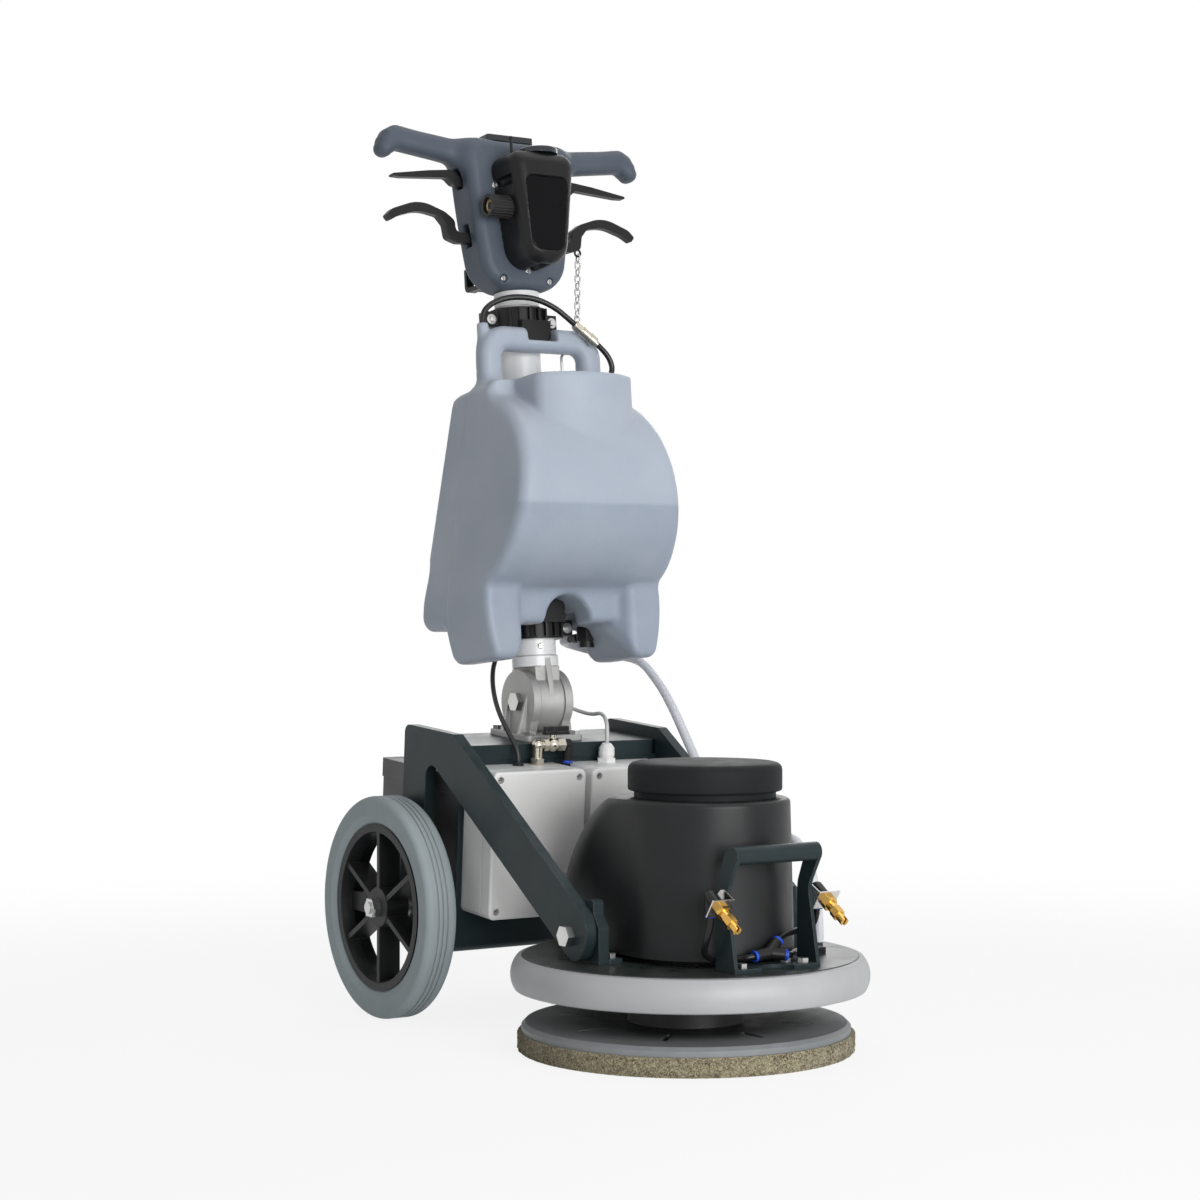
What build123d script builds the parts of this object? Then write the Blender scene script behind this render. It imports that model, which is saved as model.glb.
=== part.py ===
from build123d import *
from math import asin, atan2, cos, hypot, pi, radians, sin, sqrt, tan
import os

os.makedirs("parts", exist_ok=True)

# Fits: turning fits, pieces bolted together, and faces of pieces that move apart
run_fit = 0.06
fixed_fit = 0.1
face_gap = 0.4

# Wheels and their stance; +Z is up, the front is -Y, the origin lies on the floor under the drive axis
wheel_radius = 151.6
wheel_x = 208.0
tyre_width = 46.0
tyre_shoulder = 8.0
rim_radius = 112.0
rim_width = 38.0
rim_wall = 9.0
hub_radius = 27.0
hub_width = 34.0
spoke_count = 6
spoke_root = 32.0
spoke_tip = 24.0
spoke_t = 9.0
spoke_rib = 7.0
axle_y = 420.0
axle_z = wheel_radius
axle_radius = 8.0

# Welded frame, measured rearwards (r) and upwards (h) from the axle in the pitched chassis frame
chassis_pitch = 4.0
plate_x = 174.0
plate_t = 15.0
plate_back_r = 31.5
plate_top_h = 247.5
plate_front_r = -101.0
plate_corner = 12.0
leg_front_r = -30.0
leg_foot = 31.0
arm_above = 42.0
arm_below = 24.0
arm_beyond = 36.0
crotch_radius = 18.0
pivot_y = 15.0
pivot_z = 153.0
pivot_radius = 8.0
sheet_t = 6.0
sheet_bend = 3.0
bulkhead_r = -98.0
tray_h = -50.0
tray_back_r = 146.0
tray_lip = 45.0
cross_h = 231.0
cross_t = 21.0
cross_front_r = -100.0
cross_corner = 14.0

# Batteries standing in the tray
battery_side_gap = 8.0
battery_end_gap = 2.0
battery_middle_gap = 4.0
battery_body = 205.0
battery_lid = 26.0
battery_lip = 1.5
battery_corner = 6.0
terminal_radius = 9.0
terminal_post = 5.4
terminal_height = 12.0
terminal_inset = 22.5

# Two enclosures on the front of the bulkhead
enclosure_w = 146.0
enclosure_h = 198.0
enclosure_foot_h = 6.0
enclosure_gap = 10.0
enclosure_base = 50.0
enclosure_lid = 25.0
enclosure_wall = 3.0
enclosure_corner = 9.0
enclosure_edge = 3.5
lid_screw_inset = 11.0
lid_screw_recess = 4.6

# Plumbing and cable entries on top of the enclosures
fitting_r = -116.0
valve_x = -49.0
valve_axis_rise = 27.0
valve_radius = 8.0
valve_centre_x = -25.0
valve_lever_len = 40.0
elbow_radius = 7.6
spray_tube_radius = 4.0
gland_x = 64.0
gland_af = 24.0
signal_radius = 2.75
power_radius = 3.25
power_entry_x = -79.0

# Tilt joint between the frame and the column
tilt_y = 368.0
tilt_rise = 278.4
tilt_z = axle_z + tilt_rise
tilt_radius = 44.0
tilt_pin_radius = 8.0
cheek_t = 12.0
hub_half = 19.5
joint_base_w = 92.0
joint_base_l = 104.0
joint_base_t = 8.0
joint_bolt_inset = 9.0

# Column, measured rearwards (u) and upwards (v) from the tilt axis in the leaning column frame
column_lean = 5.5
tube_radius = 30.0
tube_wall = 4.0
ring_radius = 32.0
ring_bottom_v = 47.0
tube_bottom_v = 63.0
sleeve_radius = 32.5
sleeve_bottom_v = 556.0
stem_radius = 22.0
stem_top_v = 640.0

# Tank clamps on the tube
clamp_radius = 41.0
clamp_height = 31.0
lower_clamp_v = 86.0
upper_clamp_v = 521.0
clamp_ear = 17.0
clamp_tab_w = 46.0
clamp_tab_t = 8.0
clamp_tab_l = 21.0

# Solution tank
tank_barrel_u = -61.0
tank_barrel_v = 280.0
tank_barrel_radius = 137.0
tank_foot_v = 52.0
tank_belly_v = 102.0
tank_hip_v = 160.0
tank_top_v = 432.0
tank_foot_half = 129.0
tank_hip_half = 141.0
tank_top_half = 106.0
tank_front_u = -113.0
tank_recess_u = -60.0
tank_rear_top_u = 10.0
tank_rear_top_v = 424.0
tank_rear_low_u = 70.0
tank_foot_rear_u = 5.0
tank_groove_gap = 0.6
tank_leg_inner = 90.0
tank_wall = 4.0
tank_crown = 30.0
tank_heel = 24.0
tank_soft = 12.0
tank_edge = 10.0
neck_half = 72.0
neck_front_u = -179.0
neck_cheek_u = -154.0
neck_corner = 12.0
neck_edge = 4.0
neck_rear_u = -92.0
neck_top_v = 436.0
neck_low_v = 345.0
loop_half = 98.0
loop_hole_half = 65.0
loop_hole_corner = 10.0
loop_top_v = 518.0
loop_bar = 33.0
loop_depth = 32.0
loop_front_u = -66.0
loop_corner = 42.0
cap_x = 36.0
cap_u = -124.0
cap_radius = 27.0
cap_height = 11.0
filler_radius = 20.0
pull_rod_x = 57.0
pull_rod_u = -20.0
pull_rod_radius = 2.0
outlet_x = 74.0
outlet_radius = 7.5
nub_x = -86.0
nub_u = -45.0
nub_top_v = 522.0
inlet_x = 97.0
inlet_u = -75.0
inlet_top_v = 434.0

# Operator head at the top of the column
head_seam_u = 6.0
head_front_u = -32.0
head_rear_u = 27.0
head_wall = 4.0
head_low_v = 577.0
head_top_v = 806.0
head_crown_v = 796.0
head_edge = 13.0
head_half = 86.0
grip_reach = 220.0
grip_depth = 34.0
grip_low_v = 766.0
cover_front_u = -97.0
cover_half = 54.0
cover_low_half = 33.0
cover_low_v = 604.0
cover_top_v = 762.0
cover_edge = 20.0
switch_pivot_x = 66.0
switch_pivot_v = 728.0
pull_pivot_x = 66.0
pull_pivot_v = 652.0
lever_pin_radius = 4.0
lever_depth = 14.0

# Deck, bumper, drive and pad
deck_radius = 215.3
deck_top_z = 120.0
deck_t = 10.0
bumper_reach = 14.4
bumper_radius = deck_radius + bumper_reach
bumper_low_z = 76.0
bumper_lap = 11.0
pad_radius = 216.0
pad_t = 24.0
driver_radius = 210.0
driver_t = 12.0
driver_hub_radius = 74.0
orbit = 6.35
journal_radius = 20.0
shaft_radius = 12.5
weight_radius = 74.0
motor_radius = 70.0
motor_top_z = 292.0
lug_t = 15.0
lug_front_y = -29.0
lug_back_y = 46.0
lug_top_z = 199.0

# Motor cover and its lid
cover_y = -33.0
cover_low_z = 128.0
cover_crown_z = 322.0
cover_front_low = 113.0
cover_front_top = 108.0
cover_rear_low = 118.0
cover_rear_top = 106.5
cover_setback = 2.3
cover_reach_low = deck_radius - cover_setback
cover_reach_top = 86.5
cover_steps = 12
cover_curve = 0.65
cover_rim = 6.0
cover_wall = 4.0
lid_radius = 98.0
lid_neck_radius = 90.0
lid_low_z = 331.0
lid_edge_z = 356.0
lid_crown_z = 371.0

# Lifting handle and spray nozzles
handle_half = 65.0
handle_t = 5.0
handle_front_y = -186.0
handle_back_y = -145.0
handle_bend_z = 220.0
handle_grip_y = -178.0
handle_grip_z = 262.0
handle_grip_radius = 11.5
nozzle_x = 81.6
nozzle_y = -178.0
nozzle_z = 200.0
nozzle_dip = 34.5
hose_radius = 6.5
feed_radius = 4.0


# Construction planes
pitch = radians(chassis_pitch)
lean = radians(column_lean)
chassis = Plane((0, axle_y, axle_z), x_dir=(1, 0, 0), z_dir=(0, -sin(pitch), cos(pitch)))
column = Plane((0, tilt_y, tilt_z), x_dir=(1, 0, 0), z_dir=(0, sin(lean), cos(lean)))


def chassis_at(x, r, h):
    return chassis.from_local_coords((x, r, h))


def column_at(x, u, v):
    return column.from_local_coords((x, u, v))


def chassis_side(x):
    return Plane((x, axle_y, axle_z), x_dir=chassis.y_dir, z_dir=(1, 0, 0))


def chassis_front(r):
    return Plane(chassis_at(0, r, 0), x_dir=(1, 0, 0), z_dir=-chassis.y_dir)


def chassis_up(x, r, h):
    return Plane(chassis_at(x, r, h), x_dir=(1, 0, 0), z_dir=chassis.z_dir)


def column_side(x):
    return Plane((x, tilt_y, tilt_z), x_dir=column.y_dir, z_dir=(1, 0, 0))


def column_front(u):
    return Plane(column_at(0, u, 0), x_dir=(1, 0, 0), z_dir=-column.y_dir)


def column_up(x, u, v):
    return Plane(column_at(x, u, v), x_dir=(1, 0, 0), z_dir=column.z_dir)


def along_x(x, point):
    return Plane((x, point.Y, point.Z), x_dir=(0, 1, 0), z_dir=(1, 0, 0))


# Shared shapes; a bend of a cord takes this share of the shorter run beside it
bend_share = 0.45


def rod(plane, radius, length, mode=Mode.ADD):
    with BuildSketch(plane) as section:
        Circle(radius)
    extrude(section.sketch, amount=length, mode=mode)


def hexagon(plane, across_flats, length):
    with BuildSketch(plane) as section:
        RegularPolygon(across_flats / 2, 6, major_radius=False)
    extrude(section.sketch, amount=length)


def plate(plane, points, radii, thickness, mode=Mode.ADD):
    with BuildSketch(plane) as section:
        with BuildLine():
            FilletPolyline(*points, radius=radii, close=True)
        make_face()
    extrude(section.sketch, amount=thickness, mode=mode)


def cord(points, radius):
    corners = []
    for before, here, after in zip(points, points[1:], points[2:]):
        turn = radians((here - before).get_angle(after - here))
        corners.append(bend_share * min((here - before).length, (after - here).length) / tan(turn / 2))
    with BuildLine() as route:
        FilletPolyline(*points, radius=corners)
    with BuildSketch(Plane(points[0], z_dir=points[1] - points[0])) as section:
        Circle(radius)
    sweep(section.sketch, path=route.line)
    length = route.wire().length
    print(f"cord {2 * radius:.1f} mm thick, {length:.0f} mm long, radii", [round(c) for c in corners])
    print(f"  section times length {pi * radius**2 * length:.0f}")


def save(part, name):
    part.label = name
    export_step(part, f"parts/{name}.step")


# Side plates: an upright leg that carries the wheel and an arm that reaches forward to the deck pivot
plate_inner = plate_x - plate_t
pivot = Vector(0, pivot_y, pivot_z)
pivot_local = chassis.to_local_coords(pivot)
pivot_r = pivot_local.Y
pivot_h = pivot_local.Z
arm_rise = plate_top_h - pivot_h
arm_run = plate_front_r - pivot_r
arm_angle = atan2(arm_rise, arm_run) - asin(arm_above / hypot(arm_rise, arm_run))
along = Vector(cos(arm_angle), sin(arm_angle))
across = Vector(-sin(arm_angle), cos(arm_angle))
arm_end = Vector(pivot_r, pivot_h) - along * arm_beyond
arm_under = Vector(pivot_r, pivot_h) - across * arm_below
crotch_h = arm_under.Y + (leg_front_r - arm_under.X) * tan(arm_angle)
plate_points = [
    (plate_back_r, plate_top_h),
    (plate_front_r, plate_top_h),
    arm_end + across * arm_above,
    arm_end - across * arm_below,
    (leg_front_r, crotch_h),
    (leg_front_r, -leg_foot),
    (plate_back_r, -leg_foot),
]
shoulder_round = 3.0
round_share = 0.45
leg_round = round_share * (plate_back_r - leg_front_r)
arm_round = round_share * (arm_above + arm_below)
nose_top_round = 1.2 * arm_round
nose_low_round = 0.8 * arm_round
plate_radii = [
    plate_corner,
    shoulder_round,
    nose_top_round,
    nose_low_round,
    crotch_radius,
    leg_round,
    leg_round,
]
for side, name in ((-1, "side_plate_left"), (1, "side_plate_right")):
    with BuildPart() as side_plate:
        plate(chassis_side(side * plate_inner), plate_points, plate_radii, side * plate_t)
        rod(along_x(side * plate_inner, pivot), pivot_radius + fixed_fit, side * plate_t, Mode.SUBTRACT)
        rod(chassis_side(side * plate_inner), axle_radius + fixed_fit, side * plate_t, Mode.SUBTRACT)
    save(side_plate.part, name)

# Frame box: one bent sheet makes bulkhead, battery tray and rear lip, under the thick welded cross plate
tray_floor = tray_h + sheet_t
sheet_top = cross_h - cross_t
tray_points = [
    (bulkhead_r, sheet_top),
    (bulkhead_r, tray_h),
    (tray_back_r, tray_h),
    (tray_back_r, tray_h + tray_lip),
    (tray_back_r - sheet_t, tray_h + tray_lip),
    (tray_back_r - sheet_t, tray_floor),
    (bulkhead_r + sheet_t, tray_floor),
    (bulkhead_r + sheet_t, sheet_top),
]
outer_bend = sheet_bend + sheet_t
tray_radii = [0, outer_bend, outer_bend, 0, 0, sheet_bend, sheet_bend, 0]
with BuildPart() as frame_box:
    plate(chassis_side(-plate_inner), tray_points, tray_radii, 2 * plate_inner)
    with BuildSketch(chassis_up(0, 0, sheet_top)):
        with Locations((0, (cross_front_r + plate_back_r) / 2)):
            Rectangle(2 * plate_inner, plate_back_r - cross_front_r)
        fillet(vertices().group_by(Axis.Y)[0], cross_corner)
    extrude(amount=cross_t)
save(frame_box.part, "frame_box")

# Two batteries side by side in the tray, each with an overhanging lid and a pair of terminal posts
battery_w = plate_inner - battery_side_gap - battery_middle_gap / 2
battery_front_r = bulkhead_r + sheet_t + battery_end_gap
battery_back_r = tray_back_r - sheet_t - battery_end_gap
battery_l = battery_back_r - battery_front_r
battery_r = (battery_front_r + battery_back_r) / 2
battery_centres = [(side * (battery_w + battery_middle_gap) / 2, battery_r) for side in (-1, 1)]
battery_top_h = tray_floor + battery_body + battery_lid
terminal_grid = (battery_w - 2 * terminal_inset, battery_l - 2 * terminal_inset)
with BuildPart() as batteries:
    with BuildSketch(chassis_up(0, 0, tray_floor)):
        with Locations(*battery_centres):
            RectangleRounded(battery_w - 2 * battery_lip, battery_l - 2 * battery_lip, battery_corner - 1)
    extrude(amount=battery_body)
    with BuildSketch(chassis_up(0, 0, tray_floor + battery_body)):
        with Locations(*battery_centres):
            RectangleRounded(battery_w, battery_l, battery_corner)
    extrude(amount=battery_lid)
    with BuildSketch(chassis_up(0, 0, battery_top_h)):
        with Locations(*battery_centres):
            with GridLocations(*terminal_grid, 2, 1):
                Circle(terminal_radius)
    extrude(amount=-terminal_height, mode=Mode.SUBTRACT)
    with BuildSketch(chassis_up(0, 0, battery_top_h - terminal_height)):
        with Locations(*battery_centres):
            with GridLocations(*terminal_grid, 2, 1):
                Circle(terminal_post)
    extrude(amount=2 * terminal_height)
save(batteries.part, "batteries")

# Stub axles: threaded through the legs, with a collar that spaces the wheel off the plate
hub_inner_x = wheel_x - hub_width / 2
hub_outer_x = wheel_x + hub_width / 2
axle_nut_t = 13.0
axle_nut_af = 24.0
axle_tip = 3.0
axle_length = hub_outer_x + axle_nut_t + axle_tip - plate_inner
with BuildPart() as axle_studs:
    for side in (-1, 1):
        rod(chassis_side(side * plate_inner), axle_radius, side * axle_length)
        rod(chassis_side(side * plate_x), 2 * axle_radius, side * (hub_inner_x - face_gap - plate_x))
save(axle_studs.part, "axle_studs")

# Wheels: a moulded six-spoke rim turning on the stub axle, with a ribbed solid tyre on it
rib_count = 3
rib_groove = 1.4
rib_width = 1.6
rib_share = 0.3
rim_lip = 3.0
rim_flange = 2.0
rim_crown = 4.0
bead_rise = 14.0
tread_share = 0.55
shoulder_share = 0.86
shoulder_drop = 2.2
spoke_lap = 6.0
for side, word in ((-1, "left"), (1, "right")):
    wheel = Plane((side * wheel_x, axle_y, axle_z), x_dir=(side, 0, 0), z_dir=(0, -side, 0))
    disc = Plane((side * wheel_x, axle_y, axle_z), x_dir=(0, 1, 0), z_dir=(side, 0, 0))
    spin = Axis(wheel.origin, (1, 0, 0))
    half = tyre_width / 2
    seat = rim_width / 2 - rim_lip
    wall_top = wheel_radius - tyre_shoulder
    shoulder_r = wheel_radius - shoulder_drop
    bead_r = rim_radius + bead_rise
    tread_half = tread_share * half
    shoulder_half = shoulder_share * half
    rib_pitch = rib_share * half
    with BuildPart() as tyre:
        with BuildSketch(wheel):
            with BuildLine():
                Polyline((-seat, rim_radius), (-half, bead_r), (-half, wall_top))
                ThreePointArc((-half, wall_top), (-shoulder_half, shoulder_r), (-tread_half, wheel_radius))
                Line((-tread_half, wheel_radius), (tread_half, wheel_radius))
                ThreePointArc((tread_half, wheel_radius), (shoulder_half, shoulder_r), (half, wall_top))
                Polyline((half, wall_top), (half, bead_r), (seat, rim_radius), (-seat, rim_radius))
            make_face()
            for i in range(rib_count):
                with Locations((rib_pitch * (i - (rib_count - 1) / 2), wheel_radius)):
                    Rectangle(rib_width, 2 * rib_groove, mode=Mode.SUBTRACT)
        revolve(axis=spin)
    save(tyre.part, f"tyre_{word}")

    with BuildPart() as rim:
        with BuildSketch(wheel):
            with BuildLine():
                Polyline(
                    (-rim_width / 2, rim_radius - rim_wall),
                    (-rim_width / 2, rim_radius + rim_flange),
                    (-seat, rim_radius - fixed_fit),
                    (seat, rim_radius - fixed_fit),
                    (rim_width / 2, rim_radius + rim_flange),
                    (rim_width / 2, rim_radius - rim_wall),
                    (0, rim_radius - rim_wall - rim_crown),
                    close=True,
                )
            make_face()
            with Locations((0, hub_radius / 2)):
                Rectangle(hub_width, hub_radius)
        revolve(axis=spin)
        with BuildSketch(disc.offset(-spoke_t / 2)):
            with PolarLocations(0, spoke_count, start_angle=90):
                with BuildLine():
                    Polyline(
                        (hub_radius - spoke_lap, -spoke_root / 2),
                        (rim_radius - rim_wall, -spoke_tip / 2),
                        (rim_radius - rim_wall, spoke_tip / 2),
                        (hub_radius - spoke_lap, spoke_root / 2),
                        close=True,
                    )
                make_face()
        extrude(amount=spoke_t)
        with BuildSketch(disc.offset(-rim_width / 2 + rim_lip)):
            with PolarLocations((hub_radius + rim_radius - rim_wall) / 2, spoke_count, start_angle=90):
                Rectangle(rim_radius - rim_wall - hub_radius + rim_crown, spoke_rib)
        extrude(amount=rim_width - 2 * rim_lip)
        rod(disc.offset(-hub_width), axle_radius + run_fit, 2 * hub_width, Mode.SUBTRACT)
    save(rim.part, f"rim_{word}")

# Enclosures: moulded boxes on the bulkhead, open to the front, with screw bosses in their corners
enclosure_mid_h = enclosure_foot_h + enclosure_h / 2
enclosure_top_h = enclosure_foot_h + enclosure_h
enclosure_x = (enclosure_w + enclosure_gap) / 2
enclosure_centres = [(-enclosure_x, enclosure_mid_h), (enclosure_x, enclosure_mid_h)]
enclosure_rim_r = bulkhead_r - enclosure_base
screw_grid = (enclosure_w - 2 * lid_screw_inset, enclosure_h - 2 * lid_screw_inset)
inner_w = enclosure_w - 2 * enclosure_wall
inner_h = enclosure_h - 2 * enclosure_wall
inner_corner = enclosure_corner - enclosure_wall
boss_lap = 1.0
boss_radius = lid_screw_inset - enclosure_wall + boss_lap
with BuildPart() as enclosures:
    with BuildSketch(chassis_front(bulkhead_r)):
        with Locations(*enclosure_centres):
            RectangleRounded(enclosure_w, enclosure_h, enclosure_corner)
    extrude(amount=enclosure_base)
    with BuildSketch(chassis_front(bulkhead_r - enclosure_wall)):
        with Locations(*enclosure_centres):
            RectangleRounded(inner_w, inner_h, inner_corner)
            with GridLocations(*screw_grid, 2, 2):
                Circle(boss_radius, mode=Mode.SUBTRACT)
    extrude(amount=enclosure_base, mode=Mode.SUBTRACT)
save(enclosures.part, "enclosures")

# Enclosure lids: shallow caps with softened front edges and four screw wells each
lid_seam = 2.0
seam_w = enclosure_w - 2 * lid_seam
seam_h = enclosure_h - 2 * lid_seam
with BuildPart() as enclosure_lids:
    with BuildSketch(chassis_front(enclosure_rim_r)):
        with Locations(*enclosure_centres):
            RectangleRounded(seam_w, seam_h, enclosure_corner - lid_seam)
    extrude(amount=lid_seam)
    with BuildSketch(chassis_front(enclosure_rim_r - lid_seam)):
        with Locations(*enclosure_centres):
            RectangleRounded(enclosure_w, enclosure_h, enclosure_corner)
    extrude(amount=enclosure_lid - lid_seam)
    lid_fronts = enclosure_lids.faces().group_by(Axis((0, 0, 0), -chassis.y_dir))[-1]
    fillet(lid_fronts.edges(), enclosure_edge)
    with BuildSketch(chassis_front(enclosure_rim_r)):
        with Locations(*enclosure_centres):
            RectangleRounded(inner_w - 2 * lid_seam, inner_h - 2 * lid_seam, inner_corner)
            with GridLocations(*screw_grid, 2, 2):
                Circle(boss_radius, mode=Mode.SUBTRACT)
    extrude(amount=enclosure_lid - enclosure_wall, mode=Mode.SUBTRACT)
    with BuildSketch(chassis_front(enclosure_rim_r - enclosure_lid)):
        with Locations(*enclosure_centres):
            with GridLocations(*screw_grid, 2, 2):
                Circle(lid_screw_recess)
    extrude(amount=-(enclosure_lid - 2 * enclosure_wall), mode=Mode.SUBTRACT)
save(enclosure_lids.part, "enclosure_lids")

# Spray pump in the left enclosure: a square head with its motor standing on it
pump_head = 62.0
pump_corner = 8.0
pump_depth = 34.0
pump_rise = 59.4
pump_motor_radius = 22.0
pump_motor_length = 99.0
pump_r = bulkhead_r - enclosure_wall - pump_motor_radius
pump_h = enclosure_foot_h + pump_rise
with BuildPart() as spray_pump:
    with BuildSketch(chassis_front(bulkhead_r - enclosure_wall)):
        with Locations((-enclosure_x, pump_h)):
            RectangleRounded(pump_head, pump_head, pump_corner)
    extrude(amount=pump_depth)
    rod(chassis_up(-enclosure_x, pump_r, pump_h), pump_motor_radius, pump_motor_length)
save(spray_pump.part, "spray_pump")

# Motor controller in the right enclosure: a base plate with cooling fins
controller_w = 105.0
controller_h = 134.4
controller_t = 14.0
controller_corner = 4.0
fin_count = 9
fin_h = 126.72
fin_t = 3.0
fin_depth = 16.0
with BuildPart() as motor_controller:
    with BuildSketch(chassis_front(bulkhead_r - enclosure_wall)):
        with Locations((enclosure_x, enclosure_mid_h)):
            RectangleRounded(controller_w, controller_h, controller_corner)
    extrude(amount=controller_t)
    with BuildSketch(chassis_front(bulkhead_r - enclosure_wall - controller_t)):
        with Locations((enclosure_x, enclosure_mid_h)):
            with GridLocations(controller_w / fin_count, 0, fin_count, 1):
                Rectangle(fin_t, fin_h)
    extrude(amount=fin_depth)
save(motor_controller.part, "motor_controller")

# Ball valve: elbow standing on the left enclosure, body lying along X
valve_foot_af = 17.6
valve_foot_t = 9.0
valve_riser = 7.2
valve_pipe = 6.4
valve_ring_t = 7.0
valve_nut_af = 16.8
valve_nut_t = 11.0
valve_ball = 10.0
valve_stem = 4.8
valve_stem_rise = 13.6
valve_h = enclosure_top_h + valve_axis_rise
valve_end_x = -elbow_radius - face_gap
valve_run = valve_end_x - valve_x
valve_line = Plane(chassis_at(valve_x, fitting_r, valve_h), x_dir=chassis.y_dir, z_dir=(1, 0, 0))
with BuildPart() as valve_body:
    hexagon(chassis_up(valve_x, fitting_r, enclosure_top_h), valve_foot_af, valve_foot_t)
    rod(chassis_up(valve_x, fitting_r, enclosure_top_h), valve_riser, valve_axis_rise)
    with Locations(chassis_at(valve_x, fitting_r, valve_h)):
        Sphere(valve_radius)
    rod(valve_line, valve_pipe, valve_run)
    hexagon(valve_line.offset(valve_radius), 2 * valve_radius, valve_ring_t)
    hexagon(valve_line.offset(valve_run - valve_nut_t), valve_nut_af, valve_nut_t)
    with Locations(chassis_at(valve_centre_x, fitting_r, valve_h)):
        Sphere(valve_ball)
    rod(chassis_up(valve_centre_x, fitting_r, valve_h), valve_stem, valve_stem_rise)
save(valve_body.part, "valve_body")

# Valve lever: a flat wing handle over the valve stem
lever_h = valve_h + valve_stem_rise + face_gap
lever_shift = 4.8
lever_wing = 11.0
lever_wing_t = 4.0
lever_corner = 3.0
lever_rib_w = 7.0
lever_rib_h = 7.0
lever_boss = 6.5
with BuildPart() as valve_lever:
    with BuildSketch(chassis_up(valve_centre_x, fitting_r, lever_h)):
        with Locations((lever_shift, 0)):
            RectangleRounded(valve_lever_len, lever_wing, lever_corner)
    extrude(amount=lever_wing_t)
    with BuildSketch(chassis_up(valve_centre_x, fitting_r, lever_h + lever_wing_t)):
        with Locations((lever_shift, 0)):
            RectangleRounded(valve_lever_len, lever_rib_w, lever_corner)
        Circle(lever_boss)
    extrude(amount=lever_rib_h)
save(valve_lever.part, "valve_lever")

# Push-in elbow on the valve's outlet, its tube and the lower fitting between the enclosures
elbow_line = Plane(chassis_at(valve_end_x, fitting_r, valve_h), x_dir=chassis.y_dir, z_dir=(1, 0, 0))
collet_clear = 5.0
collet_t = 3.0
collet_radius = 6.08
collet_drop = valve_axis_rise - collet_clear
lower_fitting_rise = 55.44
lower_fitting_t = 22.0
lower_fitting_h = enclosure_mid_h + lower_fitting_rise
tube_drop = valve_h - collet_drop - lower_fitting_h
with BuildPart() as hose_elbow:
    rod(elbow_line, elbow_radius, -valve_end_x)
    with Locations(chassis_at(0, fitting_r, valve_h)):
        Sphere(elbow_radius)
    rod(chassis_up(0, fitting_r, valve_h), elbow_radius, -collet_drop)
    rod(chassis_up(0, fitting_r, valve_h - collet_drop), collet_radius, -collet_t)
    rod(chassis_up(0, fitting_r, valve_h - collet_drop), spray_tube_radius, -tube_drop)
    rod(chassis_up(0, fitting_r, lower_fitting_h), enclosure_gap / 2 - fixed_fit, -lower_fitting_t)
save(hose_elbow.part, "hose_elbow")

# Cable gland on the right enclosure: hexagon, body and domed clamping nut
gland_hex_t = 6.0
gland_neck = 10.32
gland_nut_low = 9.0
gland_nut_high = 20.0
gland_top = 26.0
gland_sides = 12
with BuildPart() as cable_gland:
    hexagon(chassis_up(gland_x, fitting_r, enclosure_top_h), gland_af, gland_hex_t)
    rod(chassis_up(gland_x, fitting_r, enclosure_top_h), gland_neck, gland_nut_low)
    with BuildSketch(chassis_up(gland_x, fitting_r, enclosure_top_h + gland_nut_low)):
        RegularPolygon(gland_af * 0.47, gland_sides)
    with BuildSketch(chassis_up(gland_x, fitting_r, enclosure_top_h + gland_nut_high)):
        RegularPolygon(gland_af * 0.45, gland_sides)
    with BuildSketch(chassis_up(gland_x, fitting_r, enclosure_top_h + gland_top)):
        RegularPolygon(gland_af * 0.26, gland_sides)
    loft(ruled=True)
save(cable_gland.part, "cable_gland")

# Tilt joint base: a cast foot with two round cheeks, each braced by a pair of triangular webs
tilt = Vector(0, tilt_y, tilt_z)
tilt_local = chassis.to_local_coords(tilt)
tilt_r = tilt_local.Y
tilt_h = tilt_local.Z
cheek_x = hub_half + face_gap
foot_half = 30.0
hub_clear = 1.0
tilt_hub_radius = tilt_h - cross_h - joint_base_t - hub_clear
cheek_half = 0.98 * tilt_radius
joint_corner = 7.0
joint_bolt_hole = 4.5
web_r = 22.0
web_t = 5.0
web_rise = 12.0
joint_bolt_grid = (joint_base_w - 2 * joint_bolt_inset, joint_base_l - 2 * joint_bolt_inset)
with BuildPart() as joint_base:
    with BuildSketch(chassis_up(0, tilt_r, cross_h)):
        RectangleRounded(joint_base_w, joint_base_l, joint_corner)
        with GridLocations(*joint_bolt_grid, 2, 2):
            Circle(joint_bolt_hole, mode=Mode.SUBTRACT)
    extrude(amount=joint_base_t)
    for side in (-1, 1):
        with BuildSketch(chassis_side(side * cheek_x)):
            with BuildLine():
                Polyline(
                    (tilt_r - foot_half, cross_h),
                    (tilt_r + foot_half, cross_h),
                    (tilt_r + cheek_half, tilt_h),
                    (tilt_r - cheek_half, tilt_h),
                    close=True,
                )
            make_face()
            with Locations((tilt_r, tilt_h)):
                Circle(tilt_radius)
                Circle(tilt_pin_radius + fixed_fit, mode=Mode.SUBTRACT)
        extrude(amount=side * cheek_t)
        outer_x = side * (cheek_x + cheek_t)
        web_foot_x = side * joint_base_w / 2
        for r in (tilt_r - web_r, tilt_r + web_r):
            with BuildSketch(chassis_front(r)):
                with BuildLine():
                    web_top = (outer_x, tilt_h + web_rise)
                    Polyline((outer_x, cross_h), (web_foot_x, cross_h), web_top, close=True)
                make_face()
            extrude(amount=web_t / 2, both=True)
save(joint_base.part, "joint_base")

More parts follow.
